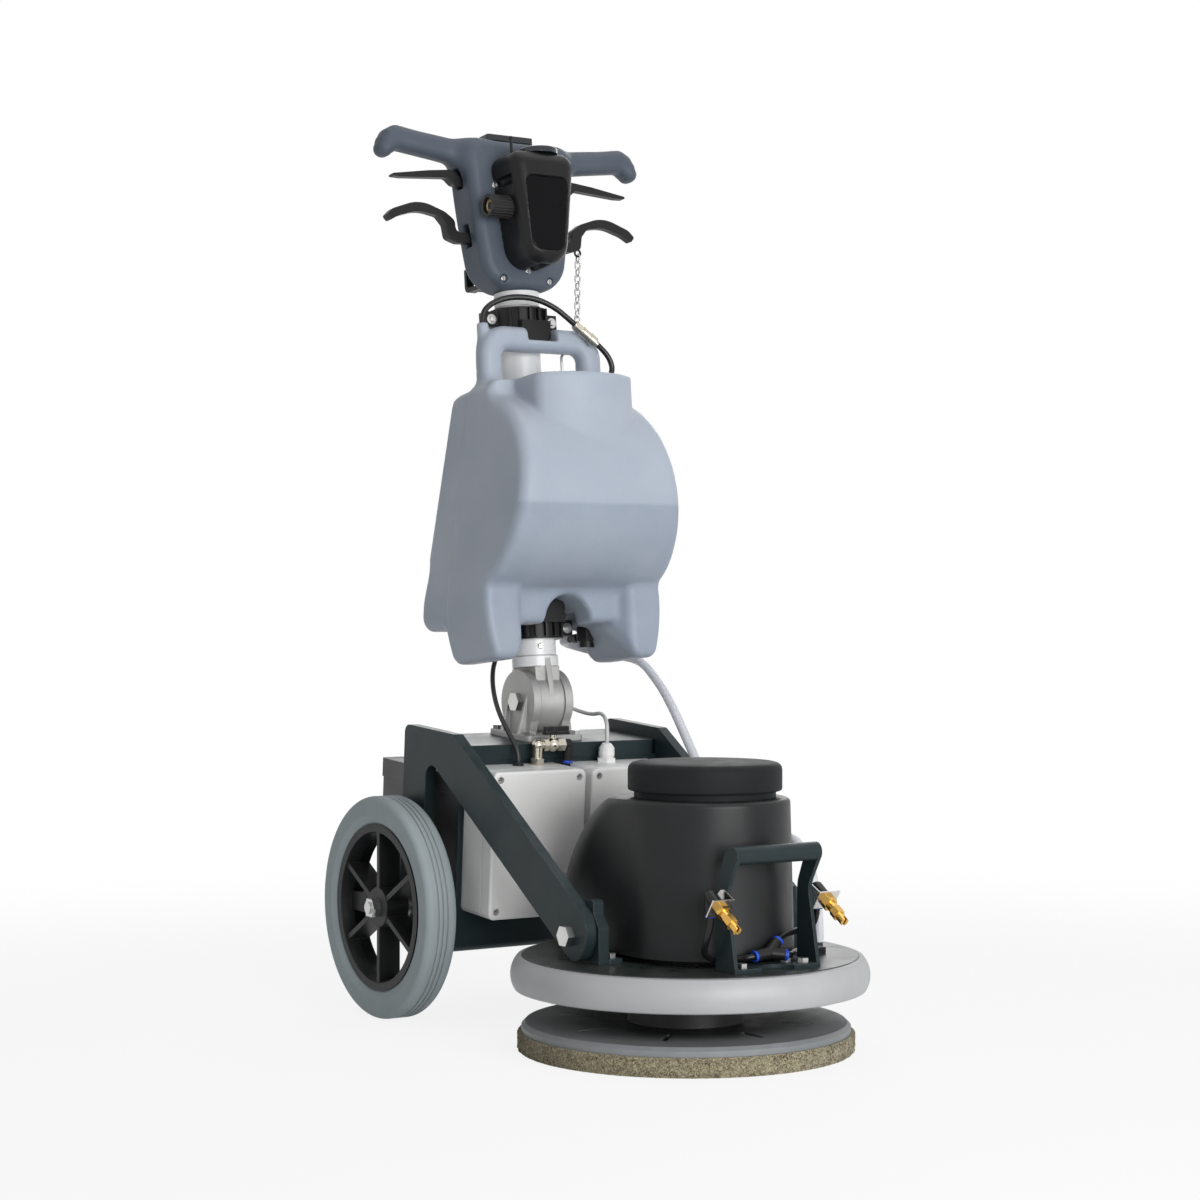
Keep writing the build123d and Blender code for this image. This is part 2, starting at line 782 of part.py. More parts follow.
# Tilt hub: the disc between the cheeks, with a ringed socket and a front gusset for the column tube
spigot_length = 48.0
gusset_t = 8.0
gusset_low_v = 6.0
gusset_top_v = tube_bottom_v - 2
with BuildPart() as tilt_hub:
    rod(column_side(-hub_half), tilt_hub_radius, 2 * hub_half)
    with BuildSketch(column_up(0, 0, 0)):
        Rectangle(2 * hub_half, 1.5 * tilt_hub_radius)
    extrude(amount=ring_bottom_v)
    rod(column_up(0, 0, ring_bottom_v), ring_radius, tube_bottom_v - ring_bottom_v)
    rod(column_up(0, 0, tube_bottom_v), tube_radius - tube_wall - fixed_fit, spigot_length)
    with BuildSketch(column_side(-gusset_t / 2)):
        with BuildLine():
            Polyline(
                (-tilt_hub_radius, gusset_low_v),
                (-ring_radius, gusset_top_v),
                (0, gusset_top_v),
                (0, gusset_low_v),
                close=True,
            )
        make_face()
    extrude(amount=gusset_t)
    rod(column_side(-hub_half), tilt_pin_radius + run_fit, 2 * hub_half, Mode.SUBTRACT)
save(tilt_hub.part, "tilt_hub")

# Column tube, with the sleeve that the operator head rests on and the stem that goes up inside the head
tube_run = sleeve_bottom_v - tube_bottom_v
stem_run = stem_top_v - sleeve_bottom_v
with BuildPart() as column_tube:
    rod(column_up(0, 0, tube_bottom_v), tube_radius, head_low_v - tube_bottom_v)
    rod(column_up(0, 0, sleeve_bottom_v), sleeve_radius, head_low_v - sleeve_bottom_v)
    rod(column_up(0, 0, tube_bottom_v), tube_radius - tube_wall, tube_run, Mode.SUBTRACT)
    rod(column_up(0, 0, sleeve_bottom_v), stem_radius, stem_run)
    rod(column_up(0, 0, sleeve_bottom_v), stem_radius - tube_wall, stem_run, Mode.SUBTRACT)
save(column_tube.part, "column_tube")

# Tank clamps: ribbed rings on the tube, each with ears and a round tongue that holds the tank
ear_depth = 20.0
ear_half = 11.16
clamp_ribs = 5
clamp_rib_l = 13.0
clamp_rib_w = 3.5
clamp_rib_inset = 2.0
tab_sink = 4.0
tab_lap = 12.0
clamp_places = [
    (lower_clamp_v, lower_clamp_v + clamp_height, 1),
    (upper_clamp_v, upper_clamp_v, -1),
]
with BuildPart() as tank_clamps:
    for low_v, tab_v, tab_step in clamp_places:
        mid_v = low_v + clamp_height / 2
        rod(column_up(0, 0, low_v), clamp_radius, clamp_height)
        with BuildSketch(column_up(0, 0, mid_v)):
            Rectangle(2 * (clamp_radius + clamp_ear), ear_depth)
        extrude(amount=ear_half, both=True)
        with BuildSketch(column_up(0, 0, low_v + clamp_rib_inset)):
            with PolarLocations(clamp_radius, clamp_ribs, start_angle=225, angular_range=90):
                Rectangle(clamp_rib_l, clamp_rib_w)
        extrude(amount=clamp_height - 2 * clamp_rib_inset)
        rod(column_up(0, 0, low_v), tube_radius + fixed_fit, clamp_height, Mode.SUBTRACT)
        with BuildSketch(column_front(-clamp_radius + tab_sink)):
            with Locations((0, tab_v + tab_step * (clamp_tab_l - clamp_tab_w / 4))):
                SlotOverall(clamp_tab_w, clamp_tab_w / 2)
            with Locations((0, tab_v + tab_step * (clamp_tab_l - clamp_tab_w / 2) / 2 - tab_step * 2)):
                Rectangle(clamp_tab_w, abs(clamp_tab_l - clamp_tab_w / 2) + tab_lap)
        extrude(amount=clamp_tab_t + tab_sink)
save(tank_clamps.part, "tank_clamps")

# Tank loop: the carrying handle moulded on top of the tank, notched for the upper clamp's tongue
loop_edge = 12.16
loop_hole_h = loop_top_v - loop_bar - tank_top_v
tongue_notch_half = clamp_tab_w / 2 + 1
tongue_notch_v = upper_clamp_v - clamp_tab_l - face_gap
with BuildPart() as tank_loop:
    with BuildSketch(column_front(loop_front_u + loop_depth)):
        with Locations((0, (loop_top_v + neck_low_v) / 2)):
            RectangleRounded(2 * loop_half, loop_top_v - neck_low_v, loop_corner)
        with Locations((0, tank_top_v + loop_hole_h / 2)):
            RectangleRounded(2 * loop_hole_half, loop_hole_h, loop_hole_corner, mode=Mode.SUBTRACT)
    extrude(amount=loop_depth)
    loop_faces = tank_loop.faces().filter_by(Axis((0, 0, 0), column.y_dir))
    fillet(loop_faces.edges(), loop_edge)

# Tank forms: the side profile with or without a foot, the tapering flanks, and the plan of the filler block
wall = tank_wall
recess_v = tank_hip_v - 14
foot_lap_v = tank_hip_v + 20
flank_top_v = tank_top_v + 20
arc_low_v = tank_barrel_v - tank_barrel_radius * 0.945
arc_high_v = tank_barrel_v + tank_barrel_radius**2 / (tank_top_v - tank_barrel_v)


def barrel_u(v):
    return tank_barrel_u - (tank_barrel_radius**2 - (v - tank_barrel_v) ** 2) ** 0.5


def tank_side(plane, with_foot):
    front = [(barrel_u(v), v) for v in (arc_low_v, tank_barrel_v, arc_high_v)]
    rounds = [
        (tank_rear_low_u, tank_belly_v, tank_heel),
        (tank_rear_top_u, tank_rear_top_v, tank_soft),
        (tank_barrel_u, tank_top_v, tank_crown),
    ]
    if with_foot:
        rounds += [
            (tank_front_u, tank_hip_v, 1.6 * tank_soft),
            (tank_foot_rear_u, tank_belly_v, 1.6 * tank_soft),
            (tank_front_u, tank_foot_v, tank_soft),
            (tank_foot_rear_u, tank_foot_v, tank_soft),
        ]
    else:
        rounds += [(tank_recess_u, recess_v, tank_soft), (tank_recess_u, tank_belly_v, tank_soft)]
    with BuildSketch(plane) as side_profile:
        with BuildLine():
            ThreePointArc(*front)
            Polyline(
                front[2],
                (tank_barrel_u, tank_top_v),
                (tank_rear_top_u, tank_rear_top_v),
                (tank_rear_low_u, tank_belly_v),
                (tank_recess_u, tank_belly_v),
                (tank_recess_u, recess_v),
                front[0],
            )
        make_face()
        if with_foot:
            with BuildLine():
                Polyline(
                    (tank_front_u, foot_lap_v),
                    (tank_front_u, tank_foot_v),
                    (tank_foot_rear_u, tank_foot_v),
                    (tank_foot_rear_u, foot_lap_v),
                    close=True,
                )
            make_face()
        for u, v, radius in rounds:
            fillet(side_profile.vertices().sort_by_distance((u, v))[0], radius)
    return side_profile.sketch


def tank_flanks(plane, inset):
    top = Vector(tank_top_half - inset, flank_top_v)
    hip = Vector(tank_hip_half - inset, tank_hip_v)
    low = Vector(tank_foot_half - inset, tank_foot_v)
    with BuildSketch(plane) as flanks:
        with BuildLine():
            Line((-top.X, top.Y), top)
            Line(top, hip)
            TangentArc(hip, low, tangent=hip - top)
            Line(low, (-low.X, low.Y))
            TangentArc((-hip.X, hip.Y), (-low.X, low.Y), tangent=(top.X - hip.X, hip.Y - top.Y))
            Line((-hip.X, hip.Y), (-top.X, top.Y))
        make_face()
    return flanks.sketch


def neck_plan(inset):
    cheek = neck_half - inset
    cheek_u = neck_cheek_u + inset
    rear_u = neck_rear_u - inset
    with BuildSketch(column_up(0, 0, neck_low_v)) as plan:
        with BuildLine():
            ThreePointArc((-cheek, cheek_u), (0, neck_front_u + inset), (cheek, cheek_u))
            Polyline((cheek, cheek_u), (cheek, rear_u), (-cheek, rear_u), (-cheek, cheek_u))
        make_face()
        fillet(plan.vertices(), neck_corner - inset)
    return plan.sketch


# Tank cavity: the barrel and filler block inside their walls, clear of the column groove and the lower clamp
groove = tube_radius + tank_groove_gap
pocket_half = clamp_radius + clamp_ear + 2
pocket_v = lower_clamp_v + clamp_height + 3
tank_floor_v = pocket_v + wall
arch_v = lower_clamp_v + clamp_height + clamp_tab_l + 3
arch_half = clamp_tab_w / 2 + 14
cavity_depth = tank_rear_low_u - neck_front_u
with BuildPart() as tank_cavity:
    with BuildSketch(column_side(-tank_hip_half)):
        add(offset(tank_side(Plane.XY, False), -wall))
    extrude(amount=2 * tank_hip_half)
    extrude(neck_plan(wall), amount=neck_top_v - wall - neck_low_v)
    extrude(tank_flanks(column_front(tank_rear_low_u), 2 * wall), amount=cavity_depth, mode=Mode.INTERSECT)
    with BuildSketch(column_up(0, 0, 0)):
        Circle(groove + wall)
        with Locations((0, tank_rear_low_u)):
            Rectangle(2 * (groove + wall), 2 * tank_rear_low_u)
    extrude(amount=neck_top_v, mode=Mode.SUBTRACT)
    with BuildSketch(column_front(tank_rear_low_u)):
        with Locations((0, (arch_v + wall) / 2)):
            Rectangle(2 * (arch_half + wall), arch_v + wall)
        with Locations((0, tank_floor_v / 2)):
            Rectangle(2 * tank_leg_inner, tank_floor_v)
    extrude(amount=tank_rear_low_u - tank_recess_u, mode=Mode.SUBTRACT)


def flank_edge(edge):
    place = column.to_local_coords(edge.center())
    straight = edge.geom_type == GeomType.LINE
    crosswise = straight and abs(edge.tangent_at(0).X) > 0.99
    hip_seam = straight and abs(place.Z - tank_hip_v) < fixed_fit
    return abs(place.X) > tank_leg_inner + wall and not crosswise and not hip_seam


# Solution tank: a barrel front between tapering flanks, on two feet, with a filler block at the top
with BuildPart() as tank_block:
    extrude(neck_plan(0), amount=neck_top_v - neck_low_v)
    fillet(tank_block.edges().group_by(Axis((0, 0, 0), column.z_dir))[-1], neck_edge)

foot_width = tank_hip_half - tank_leg_inner + wall
barrel_depth = tank_rear_low_u - tank_barrel_u + tank_barrel_radius
inlet_sink = 24.0
inlet_low_v = tank_top_v - inlet_sink
with BuildPart() as tank:
    extrude(tank_side(column_side(-tank_leg_inner), False), amount=2 * tank_leg_inner)
    for side in (-1, 1):
        extrude(tank_side(column_side(side * tank_leg_inner), True), amount=side * foot_width)
    extrude(tank_flanks(column_front(tank_rear_low_u), 0), amount=barrel_depth, mode=Mode.INTERSECT)
    fillet(tank.edges().filter_by(flank_edge), tank_edge)
    add(tank_block.part)
    add(tank_loop.part)
    rod(column_up(nub_x, nub_u, tank_top_v), 2 * feed_radius, nub_top_v - tank_top_v)
    rod(column_up(inlet_x, inlet_u, inlet_low_v), 2 * feed_radius, inlet_top_v - inlet_low_v)
    with BuildSketch(column_up(0, 0, 0)):
        Circle(groove)
        with Locations((0, tank_rear_low_u)):
            Rectangle(2 * groove, 2 * tank_rear_low_u)
    extrude(amount=loop_top_v, mode=Mode.SUBTRACT)
    with BuildSketch(column_front(tank_rear_low_u)):
        with Locations((0, arch_v / 2)):
            RectangleRounded(2 * arch_half, arch_v, arch_half * 0.9)
    extrude(amount=tank_rear_low_u - tank_recess_u + 1, mode=Mode.SUBTRACT)
    with BuildSketch(column_front(tank_rear_low_u)):
        with Locations((0, pocket_v / 2)):
            Rectangle(2 * pocket_half, pocket_v)
    extrude(amount=tank_rear_low_u + clamp_radius + clamp_tab_t + 3, mode=Mode.SUBTRACT)
    with BuildSketch(column_front(0)):
        with Locations((0, loop_top_v)):
            Rectangle(2 * tongue_notch_half, 2 * (loop_top_v - tongue_notch_v))
    extrude(amount=-loop_front_u, mode=Mode.SUBTRACT)
    add(tank_cavity.part, mode=Mode.SUBTRACT)
    rod(column_up(cap_x, cap_u, neck_top_v), filler_radius, -3 * wall, Mode.SUBTRACT)
    rod(column_up(pull_rod_x, pull_rod_u, tank_top_v), 2 * pull_rod_radius, -5 * wall, Mode.SUBTRACT)
    outlet_foot = column_up(outlet_x, pull_rod_u, tank_belly_v - 1)
    rod(outlet_foot, outlet_radius + fixed_fit, tank_floor_v + 2, Mode.SUBTRACT)
save(tank.part, "tank")

# Tank cap: a ribbed screw cap with a plug that reaches into the filler
cap_flutes = 24
cap_flute = 1.2
cap_step = 3.0
cap_rise = 1.5
cap_plug_gap = 2.0
with BuildPart() as tank_cap:
    with BuildSketch(column_up(cap_x, cap_u, neck_top_v + face_gap)):
        Circle(cap_radius)
        with PolarLocations(cap_radius, cap_flutes):
            Circle(cap_flute, mode=Mode.SUBTRACT)
    extrude(amount=cap_height)
    rod(column_up(cap_x, cap_u, neck_top_v + face_gap + cap_height), cap_radius - cap_step, cap_rise)
    rod(column_up(cap_x, cap_u, neck_top_v + face_gap), filler_radius - cap_plug_gap, -2 * tank_wall)
save(tank_cap.part, "tank_cap")

# Tank valve: flanged outlet under the belly with a hose barb that points to the rear
valve_body_h = 20.0
valve_tip_h = 9.0
barb_drop = 14.0
barb_v = tank_belly_v - barb_drop
barb_end_u = 22.0
barb_radius = 5.0
barb_seat = 10.0
barb_line = Plane(column_at(outlet_x, pull_rod_u, barb_v), x_dir=(1, 0, 0), z_dir=column.y_dir)
with BuildPart() as tank_valve:
    hexagon(column_up(outlet_x, pull_rod_u, tank_belly_v), 3.4 * outlet_radius, -valve_body_h)
    rod(column_up(outlet_x, pull_rod_u, tank_belly_v - valve_body_h), 1.4 * outlet_radius, -valve_tip_h)
    rod(column_up(outlet_x, pull_rod_u, tank_belly_v), outlet_radius, tank_floor_v - tank_belly_v)
    rod(barb_line, barb_radius, barb_end_u - pull_rod_u)
    rod(barb_line.offset(-pull_rod_u), hose_radius, barb_seat)
save(tank_valve.part, "tank_valve")

# Operator head: one moulded outline with two drooping grips, split front and rear at the seam
head_right = [
    (55, head_crown_v, 36),
    (80, head_top_v - 13, 52),
    (196, head_top_v - 1, 25),
    (grip_reach + 6, 752, 10),
    (grip_reach - 15, 750, 8),
    (186, grip_low_v + 2, 18),
    (100, grip_low_v - 4, 14),
    (head_half, 735, 8),
    (head_half - 8, 660, 40),
    (64, head_low_v, 42),
]
head_points = [(x, v) for x, v, r in head_right] + [(-x, v) for x, v, r in reversed(head_right)]
head_radii = [r for x, v, r in head_right] + [r for x, v, r in reversed(head_right)]
body_right = [
    (60, head_crown_v, 30),
    (head_half + 4, head_crown_v - head_edge, 30),
    (head_half, 735, 8),
    (head_half - 8, 660, 40),
    (64, head_low_v, 42),
]
body_points = [(x, v) for x, v, r in body_right] + [(-x, v) for x, v, r in reversed(body_right)]
body_radii = [r for x, v, r in body_right] + [r for x, v, r in reversed(body_right)]
grip_rear_u = 20.0
head_cavity_points = [
    (head_half - 24, head_crown_v - 2 * head_wall),
    (head_half - 2, head_crown_v - head_edge - 2 * head_wall),
    (head_half - head_wall - 1, 735),
    (head_half - 8 - head_wall - 1, 660),
    (58, head_low_v + head_wall + 14),
    (40, head_low_v + head_wall),
]
head_cavity_points += [(-x, v) for x, v in reversed(head_cavity_points)]
lever_mid_u = 3.0
slot_half = lever_depth / 2 + 1
head_bay = head_rear_u - head_front_u - 3 * head_wall
with BuildPart() as head_body:
    plate(column_front(head_rear_u), body_points, body_radii, head_rear_u - head_front_u)
    body_faces = head_body.faces().sort_by(Axis((0, 0, 0), column.y_dir))
    fillet(body_faces[0].edges(), head_edge)
    fillet(head_body.faces().sort_by(Axis((0, 0, 0), column.y_dir))[-1].edges(), head_wall)

with BuildPart() as head_shape:
    plate(column_front(grip_rear_u), head_points, head_radii, grip_depth)
    grip_faces = head_shape.faces().filter_by(Axis((0, 0, 0), column.y_dir))
    fillet(grip_faces.edges(), grip_depth * 0.3)
    add(head_body.part)
    plate(column_front(head_rear_u - head_wall), head_cavity_points, [5] * 12, head_bay, Mode.SUBTRACT)
    rod(column_up(0, 0, head_low_v - 1), stem_radius + fixed_fit, 2 * head_wall, Mode.SUBTRACT)
    with BuildSketch(column_side(-grip_reach)):
        with Locations((lever_mid_u, switch_pivot_v + 8)):
            Rectangle(2 * slot_half, 28)
        with Locations((lever_mid_u, pull_pivot_v + 4)):
            Rectangle(2 * slot_half, 32)
    extrude(amount=2 * grip_reach, mode=Mode.SUBTRACT)

seam = column_front(head_seam_u)
with BuildPart() as head_front:
    add(head_shape.part)
    split(bisect_by=seam, keep=Keep.TOP)
save(head_front.part, "head_front")

with BuildPart() as head_rear:
    add(head_shape.part)
    split(bisect_by=seam, keep=Keep.BOTTOM)
    for side in (-1, 1):
        for x, v in ((switch_pivot_x, switch_pivot_v), (pull_pivot_x, pull_pivot_v)):
            with BuildSketch(column_front(head_rear_u - head_wall)):
                with Locations((side * x, v)):
                    Circle(lever_pin_radius)
            extrude(amount=head_bay - 2)
save(head_rear.part, "head_rear")

# Control cover: a deep tapered shell on the front of the head with a sunk panel in its face
cover_depth = head_front_u - cover_front_u
cover_skin = 3.0
panel_half = 34.0
panel_low_half = 28.0
panel_top_v = 729.0
panel_low_v = 642.0
panel_sink = 4.0
socket_v = 685.0
socket_u = -60.0
socket_radius = 16.0
toggle_x = -35.0
toggle_u = -62.0
toggle_bush = 6.5
toggle_bore = 3.6
bush_rise = 6.0
cover_top_round = 22.0
cover_low_round = 27.0
cover_front_wall = 15.0
panel_round = 10.0
outer_radii = [cover_top_round, cover_low_round, cover_low_round, cover_top_round]
inner_radii = [radius - cover_skin for radius in outer_radii]


def tapered(low_v, top_v, low_half, top_half):
    return [(-top_half, top_v), (-low_half, low_v), (low_half, low_v), (top_half, top_v)]


outer_cover = tapered(cover_low_v, cover_top_v, cover_low_half, cover_half)
inner_cover = tapered(
    cover_low_v + cover_skin,
    cover_top_v - cover_skin,
    cover_low_half - cover_skin,
    cover_half - cover_skin,
)
panel = tapered(panel_low_v, panel_top_v, panel_low_half, panel_half)
socket_line = column_at(0, socket_u, socket_v)
with BuildPart() as control_cover:
    plate(column_front(head_front_u), outer_cover, outer_radii, cover_depth)
    cover_front = control_cover.faces().sort_by(Axis((0, 0, 0), column.y_dir))[0]
    fillet(cover_front.edges(), cover_edge)
    plate(column_front(head_front_u), inner_cover, inner_radii, cover_depth - cover_front_wall, Mode.SUBTRACT)
    plate(column_front(cover_front_u + panel_sink), panel, [panel_round] * 4, 2 * panel_sink, Mode.SUBTRACT)
    rod(along_x(-cover_half - 1, socket_line), socket_radius + fixed_fit, cover_half, Mode.SUBTRACT)
    rod(column_up(toggle_x, toggle_u, cover_top_v - cover_skin), toggle_bush, bush_rise + cover_skin)
    rod(column_up(toggle_x, toggle_u, cover_top_v), toggle_bore, bush_rise, Mode.SUBTRACT)
save(control_cover.part, "control_cover")

# Charging socket in the left wall of the cover: a fluted barrel with a sunk contact face and a centre pin
socket_end_x = -78.0
socket_flutes = 20
socket_flute = 0.9
socket_mouth = 11.52
socket_sink = 10.0
socket_pin = 4.8
pin_sink = 4.0
pin_length = 8.0
with BuildPart() as socket:
    with BuildSketch(along_x(socket_end_x, socket_line)):
        Circle(socket_radius)
        with PolarLocations(socket_radius, socket_flutes):
            Circle(socket_flute, mode=Mode.SUBTRACT)
    extrude(amount=-socket_end_x - cover_low_half)
    rod(along_x(socket_end_x, socket_line), socket_mouth, socket_sink, Mode.SUBTRACT)
    rod(along_x(socket_end_x + pin_sink, socket_line), socket_pin, pin_length)
save(socket.part, "socket")

# Toggle lever in its threaded bush
toggle_gap = 0.6
toggle_radius = 2.0
toggle_length = 22.0
toggle_knob = 2.8
with BuildPart() as toggle_lever:
    rod(column_up(toggle_x, toggle_u, cover_top_v + toggle_gap), toggle_radius, toggle_length)
    with Locations(column_at(toggle_x, toggle_u, cover_top_v + toggle_length)):
        Sphere(toggle_knob)
save(toggle_lever.part, "toggle_lever")

# Charge gauge: a low round dial on top of the cover
gauge_x = 6.0
gauge_u = -66.0
gauge_radius = 27.0
gauge_t = 8.0
gauge_edge = 2.0
gauge_rim = 5.0
gauge_sink = 2.0
with BuildPart() as gauge:
    rod(column_up(gauge_x, gauge_u, cover_top_v), gauge_radius, gauge_t)
    fillet(gauge.edges().group_by(Axis((0, 0, 0), column.z_dir))[-1], gauge_edge)
    gauge_face = column_up(gauge_x, gauge_u, cover_top_v + gauge_t)
    rod(gauge_face, gauge_radius - gauge_rim, -gauge_sink, Mode.SUBTRACT)
save(gauge.part, "gauge")

# Display panel on top of the head, with a sunk window and a row of keys
display_half = 38.0
display_setback = 19.0
display_u = head_rear_u - display_setback
display_depth = 26.0
display_corner = 4.0
display_t = 9.0
display_edge = 1.5
window_x = -8.0
window_w = 44.0
window_depth = 16.0
window_corner = 2.0
window_sink = 1.5
key_x = 25.0
key_pitch = 9.0
key_radius = 3.0
key_rise = 1.0
with BuildPart() as display_panel:
    with BuildSketch(column_up(0, display_u, head_crown_v)):
        RectangleRounded(2 * display_half, display_depth, display_corner)
    extrude(amount=display_t)
    fillet(display_panel.edges().group_by(Axis((0, 0, 0), column.z_dir))[-1], display_edge)
    with BuildSketch(column_up(0, display_u, head_crown_v + display_t)):
        with Locations((window_x, 0)):
            RectangleRounded(window_w, window_depth, window_corner)
    extrude(amount=-window_sink, mode=Mode.SUBTRACT)
    with BuildSketch(column_up(0, display_u, head_crown_v + display_t)):
        with Locations((key_x, 0)):
            with GridLocations(0, key_pitch, 1, 2):
                Circle(key_radius)
    extrude(amount=key_rise)
save(display_panel.part, "display_panel")

# Cable hook: a bent strap behind the head on which a lead is hung
hook_half = 40.0
hook_low_v = 590.0
hook_back_u = 75.0
hook_t = 6.0
hook_width = 12.0
hook_seat = 26.0
hook_tip = 34.0
hook_bar = 14.0
with BuildPart() as cable_hook:
    for side in (-1, 1):
        arm_points = [
            (head_rear_u, hook_low_v + hook_seat),
            (head_rear_u, hook_low_v),
            (hook_back_u, hook_low_v),
            (hook_back_u, hook_low_v + hook_tip),
            (hook_back_u - hook_t, hook_low_v + hook_tip),
            (hook_back_u - hook_t, hook_low_v + hook_t),
            (head_rear_u + hook_t, hook_low_v + hook_t),
            (head_rear_u + hook_t, hook_low_v + hook_seat),
        ]
        plate(column_side(side * hook_half), arm_points, [0, 9, 9, 2, 2, 5, 5, 0], -side * hook_width)
    with BuildSketch(column_up(0, (head_rear_u + hook_back_u) / 2, hook_low_v)):
        Rectangle(2 * hook_half, hook_bar)
    extrude(amount=hook_t)
save(cable_hook.part, "cable_hook")

# Switch levers under the grips and the larger curved pull levers below them, turning on pins in the head
switch_right = [
    (switch_pivot_x - 7, switch_pivot_v + 7, 6),
    (switch_pivot_x - 7, switch_pivot_v - 7, 6),
    (97, 726, 8),
    (107, 735, 8),
    (178, 730, 12),
    (193, 730.5, 1.5),
    (192, 734, 1.5),
    (135, 743, 60),
    (99, 747, 6),
    (84, 737, 6),
]
pull_right = [
    (pull_pivot_x - 8, pull_pivot_v + 7, 6),
    (pull_pivot_x - 8, pull_pivot_v - 7, 6),
    (94, 643.5, 6),
    (111, 649, 8),
    (114, 668, 6),
    (124, 679.5, 8),
    (153, 685, 60),
    (186, 675, 50),
    (200, 667, 2),
    (206, 674, 3),
    (196, 684, 20),
    (152, 700, 58),
    (112, 686, 16),
    (97, 675, 10),
    (96, 658.5, 8),
]
eye_x = 109.0
eye_v = 645.0
eye_radius = 6.0
eye_hole = 3.4
eye_t = 1.6
switch_edge = 1.2
pull_edge = 1.5
for side, word in ((-1, "left"), (1, "right")):
    lever_plane = column_front(lever_mid_u + lever_depth / 2)
    switch_points = [(side * x, v) for x, v, r in switch_right]
    pull_points = [(side * x, v) for x, v, r in pull_right]
    with BuildPart() as switch_lever:
        plate(lever_plane, switch_points, [r for x, v, r in switch_right], lever_depth)
        lever_faces = switch_lever.faces().filter_by(Axis((0, 0, 0), column.y_dir))
        fillet(lever_faces.edges(), switch_edge)
        with BuildSketch(lever_plane):
            with Locations((side * switch_pivot_x, switch_pivot_v)):
                Circle(lever_pin_radius + run_fit)
        extrude(amount=lever_depth, mode=Mode.SUBTRACT)
    save(switch_lever.part, f"switch_lever_{word}")

    with BuildPart() as pull_lever:
        plate(lever_plane, pull_points, [r for x, v, r in pull_right], lever_depth)
        lever_faces = pull_lever.faces().filter_by(Axis((0, 0, 0), column.y_dir))
        fillet(lever_faces.edges(), pull_edge)
        with BuildSketch(lever_plane):
            with Locations((side * pull_pivot_x, pull_pivot_v)):
                Circle(lever_pin_radius + run_fit)
        extrude(amount=lever_depth, mode=Mode.SUBTRACT)
        if side > 0:
            with BuildSketch(column_front(lever_mid_u + eye_t / 2)):
                with Locations((eye_x, eye_v)):
                    Circle(eye_radius)
            extrude(amount=eye_t)
            with BuildSketch(column_front(lever_mid_u + lever_depth)):
                with Locations((eye_x, eye_v)):
                    Circle(eye_hole)
            extrude(amount=2 * lever_depth, mode=Mode.SUBTRACT)
    save(pull_lever.part, f"pull_lever_{word}")

# Chain and pull rod: welded links that hang from the right pull lever, a bent rod and the outlet plug
link_wire = 1.2
link_inner = 11.5
link_pitch = link_inner - 0.4
link_round = 4.0
link_count = 10
half_long = link_inner / 2 + link_wire
link_straight = 2 * (half_long - link_round)
chain_top = column_at(eye_x, lever_mid_u, eye_v - eye_hole + link_wire + 3 * face_gap - half_long)
chain_aim = column_at(87, pull_rod_u, 536)
chain_dir = (chain_aim - chain_top).normalized()
chain_side = chain_dir.cross(column.y_dir).normalized()
rod_top = chain_top + chain_dir * (link_pitch * (link_count - 0.5) + link_inner / 2)
rod_knee_v = 486.0
rod_knee = column_at(pull_rod_x, pull_rod_u, rod_knee_v)
plug_t = 5.0
with BuildPart() as chain:
    for i in range(link_count):
        middle = chain_top + chain_dir * (link_pitch * i)
        across_link = chain_side if i % 2 else chain_dir.cross(chain_side)
        for end in (-1, 1):
            bend = middle + chain_dir * (end * link_straight / 2)
            leg = Plane(bend + across_link * (end * link_round), z_dir=chain_dir * -end)
            with BuildSketch(leg):
                Circle(link_wire)
            revolve(axis=Axis(bend, across_link.cross(chain_dir)), revolution_arc=180)
            rod(leg, link_wire, link_straight)
    rod(Plane(rod_top, z_dir=rod_knee - rod_top), pull_rod_radius, (rod_knee - rod_top).length)
    with Locations(rod_top, rod_knee):
        Sphere(pull_rod_radius)
    rod(Plane(rod_knee, z_dir=-column.z_dir), pull_rod_radius, rod_knee_v - tank_floor_v - face_gap)
    with BuildSketch(column_up((pull_rod_x + outlet_x) / 2, pull_rod_u, tank_floor_v + face_gap)):
        SlotCenterToCenter(outlet_x - pull_rod_x, 2 * outlet_radius)
    extrude(amount=plug_t)
save(chain.part, "chain")

# Deck plate with the opening for the drive shaft
deck_bottom_z = deck_top_z - deck_t
deck_bore = shaft_radius + 12
with BuildPart() as deck_plate:
    with BuildSketch(Plane.XY.offset(deck_bottom_z)):
        Circle(deck_radius)
        Circle(deck_bore, mode=Mode.SUBTRACT)
    extrude(amount=deck_t)
    chamfer(deck_plate.edges().group_by(Axis.Z)[-1].sort_by(SortBy.LENGTH)[-1], 1)
save(deck_plate.part, "deck_plate")

# Bumper: a moulded rubber ring that laps under the deck's edge
bumper_in = deck_radius - bumper_lap
skirt_z = bumper_low_z + 14
with BuildPart() as bumper:
    with BuildSketch(Plane.XZ):
        with BuildLine():
            top = (deck_radius + fixed_fit, deck_top_z - 1)
            shoulder = (deck_radius + 6, deck_top_z - 2)
            low = (bumper_radius - 5, bumper_low_z + 2)
            Polyline(shoulder, top, (top[0], deck_bottom_z), (bumper_in, deck_bottom_z), (bumper_in, skirt_z))
            Polyline((bumper_in, skirt_z), (bumper_radius - 12, bumper_low_z), low)
            ThreePointArc(low, (bumper_radius, (bumper_low_z + deck_top_z) / 2 - 3), shoulder)
        make_face()
    revolve(axis=Axis.Z)
save(bumper.part, "bumper")

